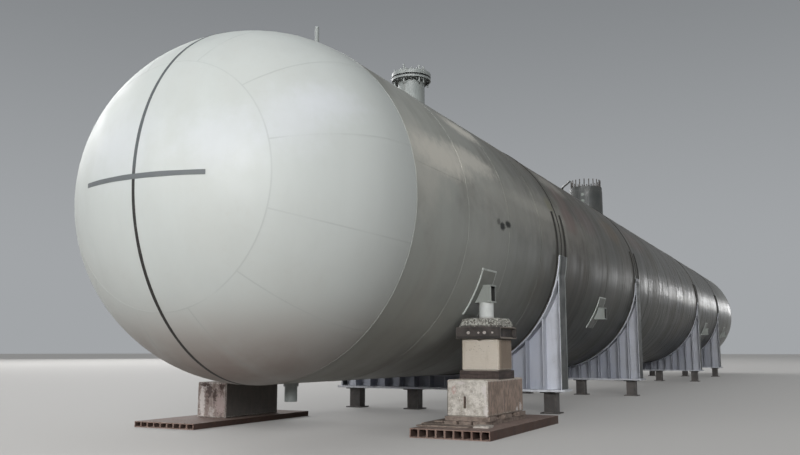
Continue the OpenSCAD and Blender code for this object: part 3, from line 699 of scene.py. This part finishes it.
def saddle_paint():
    """Lavender grey primer on ribs and webs; painted light on the outer bays, a painted highlight on the
    base plate's edges, painted shade on the saddles further from the near end, and much darker outer faces
    on the end plates.
    """
    material, t, s = new_material("saddle_paint")
    at = t.here()
    x, y, z = axes(t, at)
    grime = use(t, GRIME, Size=2.2, Amount=0.9)
    runs = t.noise(t.mapping(at, (1.0, 1.0, 0.12)), 9.0, 5, 0.62)
    base = t.mix(t.ramp(grime["Clouds"], 0.3, 0.7), colour(160, 164, 176), colour(180, 184, 194))
    normal = facing(t)
    out = t.absolute(y)
    # The outer faces of the end plates much darker, with a paler line near each edge.
    outside = t.times(t.math("GREATER_THAN", out, END_PLATE_Y), t.ramp(t.absolute(normal[1]), 0.6, 0.9))
    dark = t.mix(t.ramp(runs, 0.35, 0.7), colour(44, 48, 47), colour(60, 65, 64))
    off = nearest(t, t.absolute(x), SADDLE_AWAY)
    dark = t.over(dark, colour(150, 157, 154), t.ramp(off, 0.118, 0.128, 0.0, 0.75))
    # Painted light: the webs paler towards the saddle's ends, where the outer bays catch more light.
    base = t.over(base, colour(216, 219, 227), t.ramp(out, 1.15, 1.56, 0.0, 0.88))
    base = t.over(base, dark, outside)
    # Painted highlight: the edges of the base plate made nearly white.
    foot = t.times(t.math("LESS_THAN", z, SADDLE_BASE_TOP), t.ramp(normal[2], 0.5, 0.9, 1.0, 0.0))
    base = t.over(base, colour(222, 225, 230), foot, 0.8)
    # Painted shade: saddles further from the near end darker, as if less light reached them.
    further = t.ramp(x, SADDLE_X[0] + 1.0, SADDLE_X[1] - 1.0, 0.0, 0.5)
    base = t.stain(base, colour(176, 176, 178), further)
    base = t.stain(base, colour(132, 132, 134), t.ramp(runs, 0.45, 0.8, 0.0, 0.45))
    base = t.over(base, colour(118, 116, 114), grime["Mask"], 0.5)
    base = wear(t, base, colour(198, 201, 208), 0.7, 0.008, 14.0)
    grain = use(t, GRAIN, Size=110.0)
    finish(t, s, base, grain["Shine"], 0.43, 0.6, grain["Height"], 0.2, 0.002)
    return material


def rubber_black():
    """Black rubber, greyer where dust lies on it."""
    material, t, s = new_material("rubber_black")
    grime = use(t, GRIME, Size=3.0, Amount=0.8)
    base = t.mix(grime["Mask"], colour(40, 38, 34), colour(92, 90, 82))
    finish(t, s, base, grime["Clouds"], 0.55, 0.8, grime["Specks"], 0.3, 0.002)
    return material


def dark_steel():
    """Mill scale and oil on stools and studs, with small rust spots and bright edges."""
    material, t, s = new_material("dark_steel")
    at = t.here()
    grime = use(t, GRIME, Size=4.0, Amount=1.0)
    pits = t.noise(at, 60.0, 5, 0.7)
    base = t.mix(t.ramp(grime["Clouds"], 0.3, 0.7), colour(60, 58, 57), colour(92, 88, 85))
    base = t.over(base, colour(98, 78, 66), t.ramp(pits, 0.52, 0.7, 0.0, 0.45))
    worn = use(t, EDGES, Width=0.007, Break=20.0)
    base = t.over(base, colour(150, 146, 140), worn["Mask"], 0.75)
    t.feed(s["Metallic"], t.times(worn["Mask"], 0.4))
    finish(t, s, base, pits, 0.45, 0.75, pits, 0.35, 0.003)
    return material


beams_lo, beams_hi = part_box("right_grillage")
BEAMS_MIDDLE = middle("right_grillage")
BEAMS_HALF = (beams_hi - beams_lo) / 2


def grillage_steel():
    """Dark oily beams with bare rod ends, paler flange edges, and a painted shadow along the bottom of the
    beams.
    """
    material, t, s = new_material("grillage_steel")
    at = t.here()
    x, _, z = axes(t, at)
    grime = use(t, GRIME, Size=6.0, Amount=1.0)
    pits = t.noise(at, 60.0, 5, 0.7)
    base = t.mix(t.ramp(grime["Clouds"], 0.35, 0.65), colour(48, 45, 44), colour(76, 71, 68))
    base = t.over(base, colour(96, 78, 70), t.ramp(pits, 0.50, 0.68, 0.0, 0.5))
    side = t.ramp(t.absolute(facing(t)[1]), 0.6, 0.9)
    flange = t.ramp(t.apart(z, BEAMS_MIDDLE.z), BEAMS_HALF.z - 0.022, BEAMS_HALF.z - 0.016)
    base = t.over(base, colour(148, 138, 128), t.times(side, flange), 0.8)
    # Painted shadow: near-black along the bottom of the beams, except on their side faces.
    low = t.ramp(t.plus(z, t.times(pits, 0.02)), beams_lo.z + 0.032, beams_lo.z + 0.040, 0.7, 0.0)
    base = t.over(base, colour(34, 31, 29), low, t.minus(1.0, side))
    rod = t.math("GREATER_THAN", t.apart(x, BEAMS_MIDDLE.x), BEAMS_HALF.x - 0.0075)
    bare = t.mix(t.ramp(grime["Specks"], 0.3, 0.6), colour(232, 226, 222), colour(168, 160, 154))
    base = t.over(base, bare, rod)
    base = wear(t, base, colour(140, 134, 128), 0.6, 0.007, 20.0)
    finish(t, s, base, pits, 0.5, 0.8, pits, 0.4, 0.004)
    return material


def rusty_steel():
    """Brown rust, darker on the sides, with pale pinkish dust on top faces."""
    material, t, s = new_material("rusty_steel")
    at = t.here()
    scale = t.noise(at, 14.0, 8, 0.68)
    grime = use(t, GRIME, Size=2.5, Amount=1.0)
    normal = facing(t)
    base = t.mix(t.ramp(scale, 0.35, 0.65), colour(92, 72, 64), colour(124, 100, 90))
    base = t.over(base, colour(132, 114, 104), t.ramp(grime["Clouds"], 0.4, 0.7, 0.0, 0.6))
    side = t.ramp(t.absolute(normal[1]), 0.5, 0.9)
    base = t.stain(base, colour(150, 140, 136), side, 0.8)
    top = t.ramp(normal[2], 0.5, 0.9)
    dust = t.ramp(grime["Specks"], 0.35, 0.6, 0.15, 0.6)
    base = t.over(base, colour(148, 132, 124), top, dust)
    base = wear(t, base, colour(150, 130, 120), 0.6, 0.008, 18.0)
    finish(t, s, base, scale, 0.7, 0.95, scale, 0.5, 0.006)
    return material


def concrete_grey():
    """Cast blocks: pale cement skin with pores and chips, sides browner and darker, partly as painted shade,
    the left block darker as a painted shadow, worn edges and splashes.
    """
    material, t, s = new_material("concrete_grey")
    at = t.here()
    x, y, z = axes(t, at)
    normal = facing(t)
    grime = use(t, GRIME, Size=3.4, Amount=1.0)
    pores = t.node("ShaderNodeTexVoronoi", feature="F1")
    t.feed(pores.inputs["Vector"], at)
    pores.inputs["Scale"].default_value = 42.0
    pore = t.ramp(pores.outputs["Distance"], 0.1, 0.22, 1.0, 0.0)
    pore = t.times(pore, t.ramp(t.noise(at, 8.0, 2), 0.5, 0.6))
    runs = t.noise(t.mapping(at, (1.0, 1.0, 0.14)), 26.0, 5, 0.65)
    sand = t.noise(at, 160.0, 4, 0.7)
    mottle = t.noise(at, 17.0, 9, 0.74)
    streaks = t.noise(t.mapping(at, (1.0, 1.0, 0.45)), 24.0, 8, 0.72)
    base = t.mix(t.ramp(grime["Clouds"], 0.3, 0.7), colour(192, 182, 168), colour(214, 206, 194))
    base = t.over(base, colour(146, 133, 118), t.ramp(runs, 0.52, 0.75, 0.0, 0.35))
    base = t.over(base, colour(134, 121, 108), grime["Mask"], 0.4)
    low = t.times(t.math("LESS_THAN", z, LOWER_TOP), t.ramp(t.absolute(normal[0]), 0.5, 0.8))
    chips = t.noise(at, 52.0, 6, 0.7)
    skin = t.mix(t.ramp(mottle, 0.36, 0.62), colour(134, 129, 122), colour(212, 209, 203))
    skin = t.over(skin, colour(234, 231, 226), t.ramp(chips, 0.58, 0.66, 0.0, 0.8))
    skin = t.over(skin, colour(96, 90, 83), t.ramp(chips, 0.34, 0.42, 0.75, 0.0))
    base = t.over(base, skin, low, 0.72)
    # Side faces browner and darker: brown streaks, and painted shade; on the upper block the painted shade
    # deepens away from its front.
    side = t.ramp(t.absolute(normal[1]), 0.5, 0.9)
    brown = t.mix(t.ramp(streaks, 0.38, 0.66), colour(127, 108, 102), colour(203, 179, 174))
    deep = t.ramp(x, right_lo.x + 0.36, right_lo.x + 0.46)
    smooth_side = t.mix(deep, colour(214, 202, 190), colour(150, 134, 122))
    brown = t.over(brown, smooth_side, t.math("GREATER_THAN", z, LOWER_TOP))
    base = t.stain(base, brown, side, 0.85)
    base = t.over(base, colour(84, 74, 64), pore, 0.8)
    base = t.over(base, colour(204, 196, 182), t.ramp(sand, 0.4, 0.7, 0.0, 0.25))
    left = t.math("GREATER_THAN", y, 0.0)
    # Painted shadow: the whole left block darker, and its side faces turned towards a plain grey.
    base = t.stain(base, colour(128, 126, 128), left, 0.72)
    base = t.over(base, colour(122, 122, 120), t.times(left, side), 0.6)
    stain = t.noise(t.mapping(at, (1.0, 1.0, 0.6)), 11.0, 9, 0.76, 0.45)
    splashed = t.mix(t.ramp(stain, 0.36, 0.50), colour(84, 66, 61), colour(140, 126, 120))
    splashed = t.over(splashed, colour(200, 193, 189), t.ramp(stain, 0.50, 0.62, 0.0, 0.75))
    face = t.times(left, t.ramp(t.absolute(normal[0]), 0.5, 0.8))
    base = t.over(base, splashed, face, 0.9)
    base = wear(t, base, colour(216, 211, 203), 0.8, 0.017, 26.0)
    for place, size, tint in SPLASHES:
        wide = tuple(1.35 * v for v in size)
        base = t.over(base, tint, spot(t, at, place, wide, 1.7, 0.2), 0.85)
    height = t.minus(t.times(sand, 0.4), pore)
    skinned = bump(t, None, t.plus(mottle, t.times(chips, 0.6)), 0.5, 0.009)
    finish(t, s, base, sand, 0.82, 0.98, height, 0.5, 0.006, skinned)
    return material


def weathered_timber():
    """Sawn timber: grain along X, dark oil stains, and cement dust over it."""
    material, t, s = new_material("weathered_timber")
    at = t.here()
    rings = t.noise(t.mapping(at, (0.05, 1.0, 1.0)), 60.0, 6, 0.6, 1.2)
    grime = use(t, GRIME, Size=3.0, Amount=1.0)
    base = t.mix(t.ramp(rings, 0.3, 0.7), colour(66, 56, 50), colour(104, 90, 80))
    base = t.over(base, colour(50, 44, 40), grime["Mask"], 0.9)
    dust = t.ramp(t.noise(at, 18.0, 6, 0.7), 0.36, 0.58, 0.25, 0.85)
    base = t.over(base, colour(140, 126, 116), dust)
    finish(t, s, base, rings, 0.7, 0.92, rings, 0.5, 0.005)
    return material


def packer_timber():
    """Dark, oiled packing boards: grain along X with black stains."""
    material, t, s = new_material("packer_timber")
    at = t.here()
    rings = t.noise(t.mapping(at, (0.08, 1.0, 1.0)), 60.0, 6, 0.6, 1.2)
    layers = t.noise(t.mapping(at, (0.1, 0.1, 1.0)), 70.0, 3, 0.5)
    grime = use(t, GRIME, Size=5.0, Amount=1.0)
    base = t.mix(t.ramp(rings, 0.3, 0.7), colour(58, 49, 46), colour(92, 80, 76))
    base = t.over(base, colour(44, 38, 35), t.ramp(layers, 0.5, 0.6, 0.0, 0.6))
    base = t.over(base, colour(50, 43, 40), grime["Mask"], 0.8)
    finish(t, s, base, rings, 0.75, 0.95, t.plus(rings, layers), 0.5, 0.005)
    return material


def pale_board():
    """Off-cut of planed board: grey-white grain under darker dirt."""
    material, t, s = new_material("pale_board")
    at = t.here()
    grain = t.noise(t.mapping(at, (1.0, 0.1, 1.0)), 70.0, 5, 0.6)
    grime = use(t, GRIME, Size=8.0, Amount=1.0)
    base = t.mix(t.ramp(grain, 0.35, 0.65), colour(150, 142, 134), colour(188, 182, 174))
    base = t.over(base, colour(104, 94, 86), grime["Mask"], 0.7)
    finish(t, s, base, grain, 0.7, 0.9, grain, 0.4, 0.003)
    return material


# Stage

FLOOR_HALF = 300.0
FLOOR_SEEN = colour(182, 180, 177)
FLOOR_BOUNCE = colour(124, 116, 110)
FLOOR_GLOW = 0.08
SURROUND_LOW = colour(162, 165, 168)
SURROUND_HIGH = colour(120, 123, 126)
SURROUND_LIGHT = (0.37, 0.38, 0.39, 1.0)


def seen_directly(t):
    """1 for rays of the camera, of mirroring surfaces and of glass, 0 for the light that falls on things."""
    path = t.node("ShaderNodeLightPath")
    seen = t.math("MAXIMUM", path.outputs["Is Camera Ray"], path.outputs["Is Transmission Ray"])
    return t.math("MAXIMUM", seen, path.outputs["Is Glossy Ray"])


def make_stage():
    """Pale floor that runs to the horizon, and a pale surround. What is seen of them has colours of its own,
    apart from the light that they throw on things."""
    mesh = bpy.data.meshes.new("floor")
    corners = [(x * FLOOR_HALF, y * FLOOR_HALF, 0) for x, y in ((-1, -1), (1, -1), (1, 1), (-1, 1))]
    mesh.from_pydata(corners, [], [(0, 1, 2, 3)])
    new_object("floor", mesh)
    material, t, s = new_material("floor_pale")
    seen = seen_directly(t)
    t.feed(s["Base Color"], t.mix(seen, FLOOR_BOUNCE, FLOOR_SEEN))
    s["Roughness"].default_value = 0.85
    s["Specular IOR Level"].default_value = 0.2
    s["Emission Color"].default_value = (1, 0.99, 0.98, 1)
    t.feed(s["Emission Strength"], t.times(seen, FLOOR_GLOW))
    mesh.materials.append(material)

    world = bpy.data.worlds.new("surround")
    bpy.context.scene.world = world
    world.use_nodes = True
    w = Tree(world.node_tree)
    background = world.node_tree.nodes["Background"]
    up = axes(w, w.node("ShaderNodeTexCoord").outputs["Generated"])[2]
    pale = w.mix(w.ramp(up, 0.08, 0.55), SURROUND_LOW, SURROUND_HIGH)
    w.feed(background.inputs["Color"], w.mix(seen_directly(w), SURROUND_LIGHT, pale))
    background.inputs["Strength"].default_value = 1.0


# Each lamp has a name, a place, the point that it faces, its width and height, its watts and its spread
LAMPS = [
    ("near_right_soft", (-58, -22, 15), (-9, 0, 2), (26, 14), 4250, 90),
    ("near_left_soft", (-52, 12, 15), (-10, 0, 2), (22, 14), 1480, 90),
    ("back_soft", (8, 52, 28), (0, 0, 2), (50, 22), 11500, 180),
    ("far_wide_soft", (54, 60, 28), (10, 0, 2), (36, 20), 14000, 180),
    ("far_low_soft", (62, -9.6, 6.4), (8, -1, 2), (6.2, 3.2), 45, 50),
]


def make_lights():
    """Wide soft lights far out on the sides: two narrower ones that face the near end, two behind, and one
    low small light beyond the far end."""
    for name, place, target, size, watts, spread in LAMPS:
        data = bpy.data.lights.new(name, "AREA")
        data.shape = "RECTANGLE"
        data.size, data.size_y = size
        data.energy = watts
        data.spread = math.radians(spread)
        lamp = new_object(name, data)
        lamp.location = place
        lamp.rotation_euler = (Vector(target) - Vector(place)).to_track_quat("-Z", "Y").to_euler()


# The finish of each material slot, and of the nodes that differ from their slot

# Painted shade: the dome's primer made dark grey for the shade that lies on it.
DOME_SHADED_PAINT = plate_paint("dome_shaded_paint", colour(74, 76, 75), colour(62, 65, 64),
                         colour(76, 76, 70), 0.42, colour(136, 140, 138), dome_marks)
GRILLAGE = grillage_steel()
PACKER = packer_timber()

PAINTS = {
    "head_paint": head_paint(),
    "shell_paint": shell_paint(),
    "saddle_paint": saddle_paint(),
    "lug_paint": plate_paint("lug_paint", colour(158, 163, 159), colour(138, 143, 140),
                             colour(122, 124, 114), 0.5, colour(186, 190, 184), lug_slot_shade),
    "nozzle_paint": plate_paint("nozzle_paint", colour(160, 165, 163), colour(138, 144, 142),
                                colour(108, 108, 102), 0.42, colour(196, 200, 198), flange_gap),
    "jack_paint": jack_paint(),
    "rubber": rubber_black(),
    "dark_steel": dark_steel(),
    "rusty_steel": rusty_steel(),
    "concrete": concrete_grey(),
    "timber": weathered_timber(),
}

NODE_PAINTS = {
    "dome_barrel": DOME_SHADED_PAINT,
    "dome_cover": DOME_SHADED_PAINT,
    "dome_davit": DOME_SHADED_PAINT,
    "lug_pads": pad_paint(),
    "nozzle_bolts": plate_paint("bolt_paint", colour(150, 155, 153), colour(128, 134, 132),
                                colour(108, 108, 102), 0.42, colour(170, 174, 172), bolt_shadow),
    "right_grillage": GRILLAGE,
    "left_grillage": GRILLAGE,
    "right_packer": PACKER,
    "left_packer": PACKER,
}


def paint_nodes():
    """Each CAD node gets its own finish, or else the finish of its slot."""
    for part in frame["record"]["subparts"]:
        mesh = nodes[part["node"]].data
        mesh.materials.clear()
        mesh.materials.append(NODE_PAINTS.get(part["node"], PAINTS[part["material_slot"]]))


# Tape on the near head

TAPE_THICK = 0.0016
CROSS_TAPE_THICK = 0.0024
TAPE_SINK = 0.0006
TAPE_STEPS = 121


def tape_paint(name, pale, dark, edge_z):
    """Matt tape: paler above one height, with patches of dust and fine level creases."""
    material, t, s = new_material(name)
    at = t.here()
    wander = t.plus(axes(t, at)[2], t.times(t.noise(at, 7.0, 3), 0.12))
    base = t.mix(t.ramp(wander, edge_z - 0.06, edge_z + 0.14), dark, pale)
    dust = t.noise(at, 35.0, 5, 0.65)
    base = t.over(base, colour(122, 122, 118), t.ramp(dust, 0.5, 0.75, 0.0, 0.3))
    creases = t.noise(t.mapping(at, (1.0, 1.0, 6.0)), 9.0, 4, 0.6)
    finish(t, s, base, dust, 0.5, 0.7, creases, 0.3, 0.002)
    return material


def head_arc(reach, turn, width, thick):
    """Strip along a great circle through the pole of the near head, as far as an angle to each side of it.
    From the middle of the head, the point at angle a lies at cos(a) towards -X and sin(a) towards the
    direction that is turned from +Z about X. The strip's width wavers by a few per cent."""
    a = np.radians(np.linspace(-reach, reach, TAPE_STEPS))
    across = np.array([0.0, math.sin(math.radians(turn)), math.cos(math.radians(turn))])
    up = np.cos(a)[:, None] * np.array([-1.0, 0, 0]) + np.sin(a)[:, None] * across
    centre = np.array([-HALF_LEN, 0, AXIS_Z])
    wobble = 1 + 0.05 * np.sin(a * 9 + turn) + 0.03 * np.sin(a * 31)
    section = np.array([[0.5, 0], [0.5, thick], [-0.5, thick], [-0.5, 0]]) * [width, 1]
    section = section[None] * np.stack([wobble, np.ones(TAPE_STEPS)], 1)[:, None]
    section[..., 1] -= TAPE_SINK * (section[..., 1] == 0)
    return bar(centre + RADIUS * up, up, section)


def make_tape():
    """A long upright tape over the near head, and a short level one that crosses it at the pole."""
    add_piece("near_head_long_tape", head_arc(88.5, 0, 0.030, TAPE_THICK),
              tape_paint("tape_upright", colour(88, 93, 95), colour(40, 37, 35), AXIS_Z + 0.06))
    add_piece("near_head_cross_tape", head_arc(21.7, 90, 0.040, CROSS_TAPE_THICK),
              tape_paint("tape_level", colour(104, 109, 111), colour(84, 88, 90), AXIS_Z - 0.05))


# Long welds of the courses

BEAD_WIDTH = 0.009
BEAD_HEIGHT = 0.0014
BEAD_DEPTH = 0.003
BEAD_GAP = 0.012


def make_long_welds():
    """One bead along each course, a gap short of its seams. It lies high on one side of the shell and then
    on the other, at an angle above the horizontal that changes from course to course."""
    section = cap_profile(BEAD_WIDTH, BEAD_HEIGHT, BEAD_DEPTH)
    beads = []
    for course in range(COURSE_COUNT):
        side = -1 if course % 2 == 0 else 1
        angle = math.radians(11 + 8 * ((course * 5) % 7))
        up_one = np.array([0.0, side * math.cos(angle), math.sin(angle)])
        start = -HALF_LEN + course * COURSE
        x = np.linspace(start + BEAD_GAP, start + COURSE - BEAD_GAP, 90)
        up = np.broadcast_to(up_one, (len(x), 3))
        path = np.stack([x, np.zeros_like(x), np.full_like(x, AXIS_Z)], 1) + RADIUS * up_one
        ripple = 1 + 0.10 * np.sin(x * 210) + 0.06 * np.sin(x * 47 + course)
        beads.append(bar(path, up, section * ripple[:, None, None]))
    add_piece("shell_long_welds", joined(beads), PAINTS["shell_paint"], True)


# Loose things on the stands

CORNER_AWAY = 1.902
CRUMBS = mortar_crumbs()


def crumbs(centres, sizes):
    """Many small lumps. Each has the twelve corners of three golden rectangles, and a face for each three of
    them that are one edge apart. Its corners are pulled in or out at random, and then it is stretched to its
    size, turned about Z and moved to its place."""
    count = len(centres)
    gold = (1 + 5 ** 0.5) / 2
    one = np.array([(0, 1, gold), (0, -1, gold), (0, 1, -gold), (0, -1, -gold)])
    corners = np.concatenate([one, one[:, [1, 2, 0]], one[:, [2, 0, 1]]]) / CORNER_AWAY
    triples = np.array(list(combinations(range(12), 3)))
    gaps = np.linalg.norm(corners[triples] - corners[np.roll(triples, -1, 1)], axis=2)
    faces = triples[(gaps < 1.1).all(axis=1)]
    inward = np.linalg.det(corners[faces]) < 0
    faces[inward] = faces[inward][:, ::-1]
    reach = rng.uniform(0.75, 1.2, (count, 12, 1))
    turn = rng.uniform(0, 2 * math.pi, count)
    c, s = np.cos(turn)[:, None], np.sin(turn)[:, None]
    x, y, z = np.moveaxis(corners[None] * reach * sizes[:, None], -1, 0)
    lumps = np.stack([c * x - s * y, s * x + c * y, z], -1)
    first = 12 * np.arange(count)[:, None, None]
    return (lumps + centres[:, None]).reshape(-1, 3), (faces + first).reshape(-1, 3)


BED_TOP_HALF = 0.187
BED_LOW_HALF = 0.218
PROP_R = 0.076
SLOPE_LUMPS = 260
TOP_LUMPS = 240
RING_LUMPS = 70


def bed_crumbs(name, y):
    """Lumps on one bed: on its four slopes, over its top, and in a ring round the prop's foot. A slope's
    half width falls evenly from its foot to its top."""
    turn = rng.integers(0, 4, SLOPE_LUMPS) * math.pi / 2
    up = rng.uniform(0.0, 1.0, SLOPE_LUMPS) ** 0.8
    half = BED_LOW_HALF + (BED_TOP_HALF - BED_LOW_HALF) * up
    along = rng.uniform(-0.96, 0.96, SLOPE_LUMPS) * half
    slopes = np.stack([np.cos(turn) * half - np.sin(turn) * along,
                       np.sin(turn) * half + np.cos(turn) * along,
                       BED_LOW + up * (BED_TOP - BED_LOW)], 1)
    flat = rng.uniform(-BED_TOP_HALF, BED_TOP_HALF, (TOP_LUMPS, 2))
    flat = flat[np.linalg.norm(flat, axis=1) > PROP_R + 0.008]
    top = np.column_stack([flat, np.full(len(flat), BED_TOP)])
    turn = rng.uniform(0, 2 * math.pi, RING_LUMPS)
    away = PROP_R + rng.uniform(0.004, 0.03, RING_LUMPS)
    ring = np.stack([away * np.cos(turn), away * np.sin(turn), np.full(RING_LUMPS, BED_TOP)], 1)
    places = np.concatenate([slopes, top, ring])
    places[:, 2] = np.maximum(places[:, 2], BED_LOW + 0.006)
    sizes = rng.uniform(0.004, 0.013, (len(places), 1)) * rng.uniform(0.7, 1.3, (len(places), 3))
    add_piece(name, crumbs(places + np.array([STAND_X, y, 0.0]), sizes), CRUMBS)


BOARD_CHAMFER = 0.002


def board(start, stop, width, thick):
    """Board that lies flat: a rectangle with its corners cut off, carried from start to stop. Its width
    wavers by 3 per cent."""
    w, c = width / 2, BOARD_CHAMFER
    section = np.array([(w - c, 0), (w, c), (w, thick - c), (w - c, thick),
                        (c - w, thick), (-w, thick - c), (-w, c), (c - w, 0)])
    steps = np.linspace(0, 1, 9)[:, None]
    path = np.array(start) + steps * (np.array(stop) - np.array(start))
    wave = 1 + 0.03 * np.sin(steps[:, 0] * 9 + width * 40)
    sections = section[None] * np.stack([wave, np.ones(9)], 1)[:, None]
    return bar(path, np.broadcast_to([0.0, 0.0, 1.0], path.shape), sections)


def make_boards():
    """Thin boards that lie on the right raft beside the timbers, and one pale off-cut."""
    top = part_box("right_raft")[1].z + 0.0003
    boards = [
        board((-12.285, -1.110, top), (-12.300, -1.650, top), 0.210, 0.012),
        board((-12.150, -1.168, top), (-11.420, -1.140, top), 0.240, 0.012),
        board((-12.020, -1.190, top + 0.0123), (-11.500, -1.175, top + 0.0123), 0.130, 0.014),
    ]
    add_piece("right_loose_boards", joined(boards), PAINTS["timber"])
    off_cut = board((-12.276, -1.668, top), (-12.262, -1.815, top), 0.186, 0.020)
    add_piece("right_pale_board", off_cut, pale_board())


BOLT_CIRCLE = 0.2195
STUD_R = 0.0108
# Each stud's place round the flange in degrees, and its height above it
LONG_STUDS = ((180, 0.080), (234, 0.070), (252, 0.062), (306, 0.030), (54, 0.050), (126, 0.055))


def make_long_studs():
    """Longer studs through some holes of the nozzle's flange: upright rods of twelve sides."""
    lo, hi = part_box("nozzle_blind_flange")
    middle_x = (lo.x + hi.x) / 2
    middle_y = middle("nozzle_bolts").y
    studs = []
    turn = np.linspace(0, 2 * math.pi, 12, endpoint=False)
    section = STUD_R * np.stack([np.cos(turn), np.sin(turn)], 1)
    for degrees, above in LONG_STUDS:
        a = math.radians(degrees)
        place = np.array([middle_x + BOLT_CIRCLE * math.cos(a), middle_y + BOLT_CIRCLE * math.sin(a), 0])
        z = np.linspace(FLANGE_FACE - 0.095, hi.z + above, 5)
        path = place + z[:, None] * np.array([0, 0, 1.0])
        studs.append(bar(path, np.broadcast_to([1.0, 0.0, 0.0], path.shape), section))
    add_piece("nozzle_long_studs", joined(studs), PAINTS["nozzle_paint"])


make_tape()
make_long_welds()
bed_crumbs("right_bed_crumbs", STAND_Y)
bed_crumbs("left_bed_crumbs", -STAND_Y)
make_boards()
make_long_studs()

make_camera()
make_stage()
make_lights()
paint_nodes()

bpy.context.scene.view_settings.view_transform = "Standard"
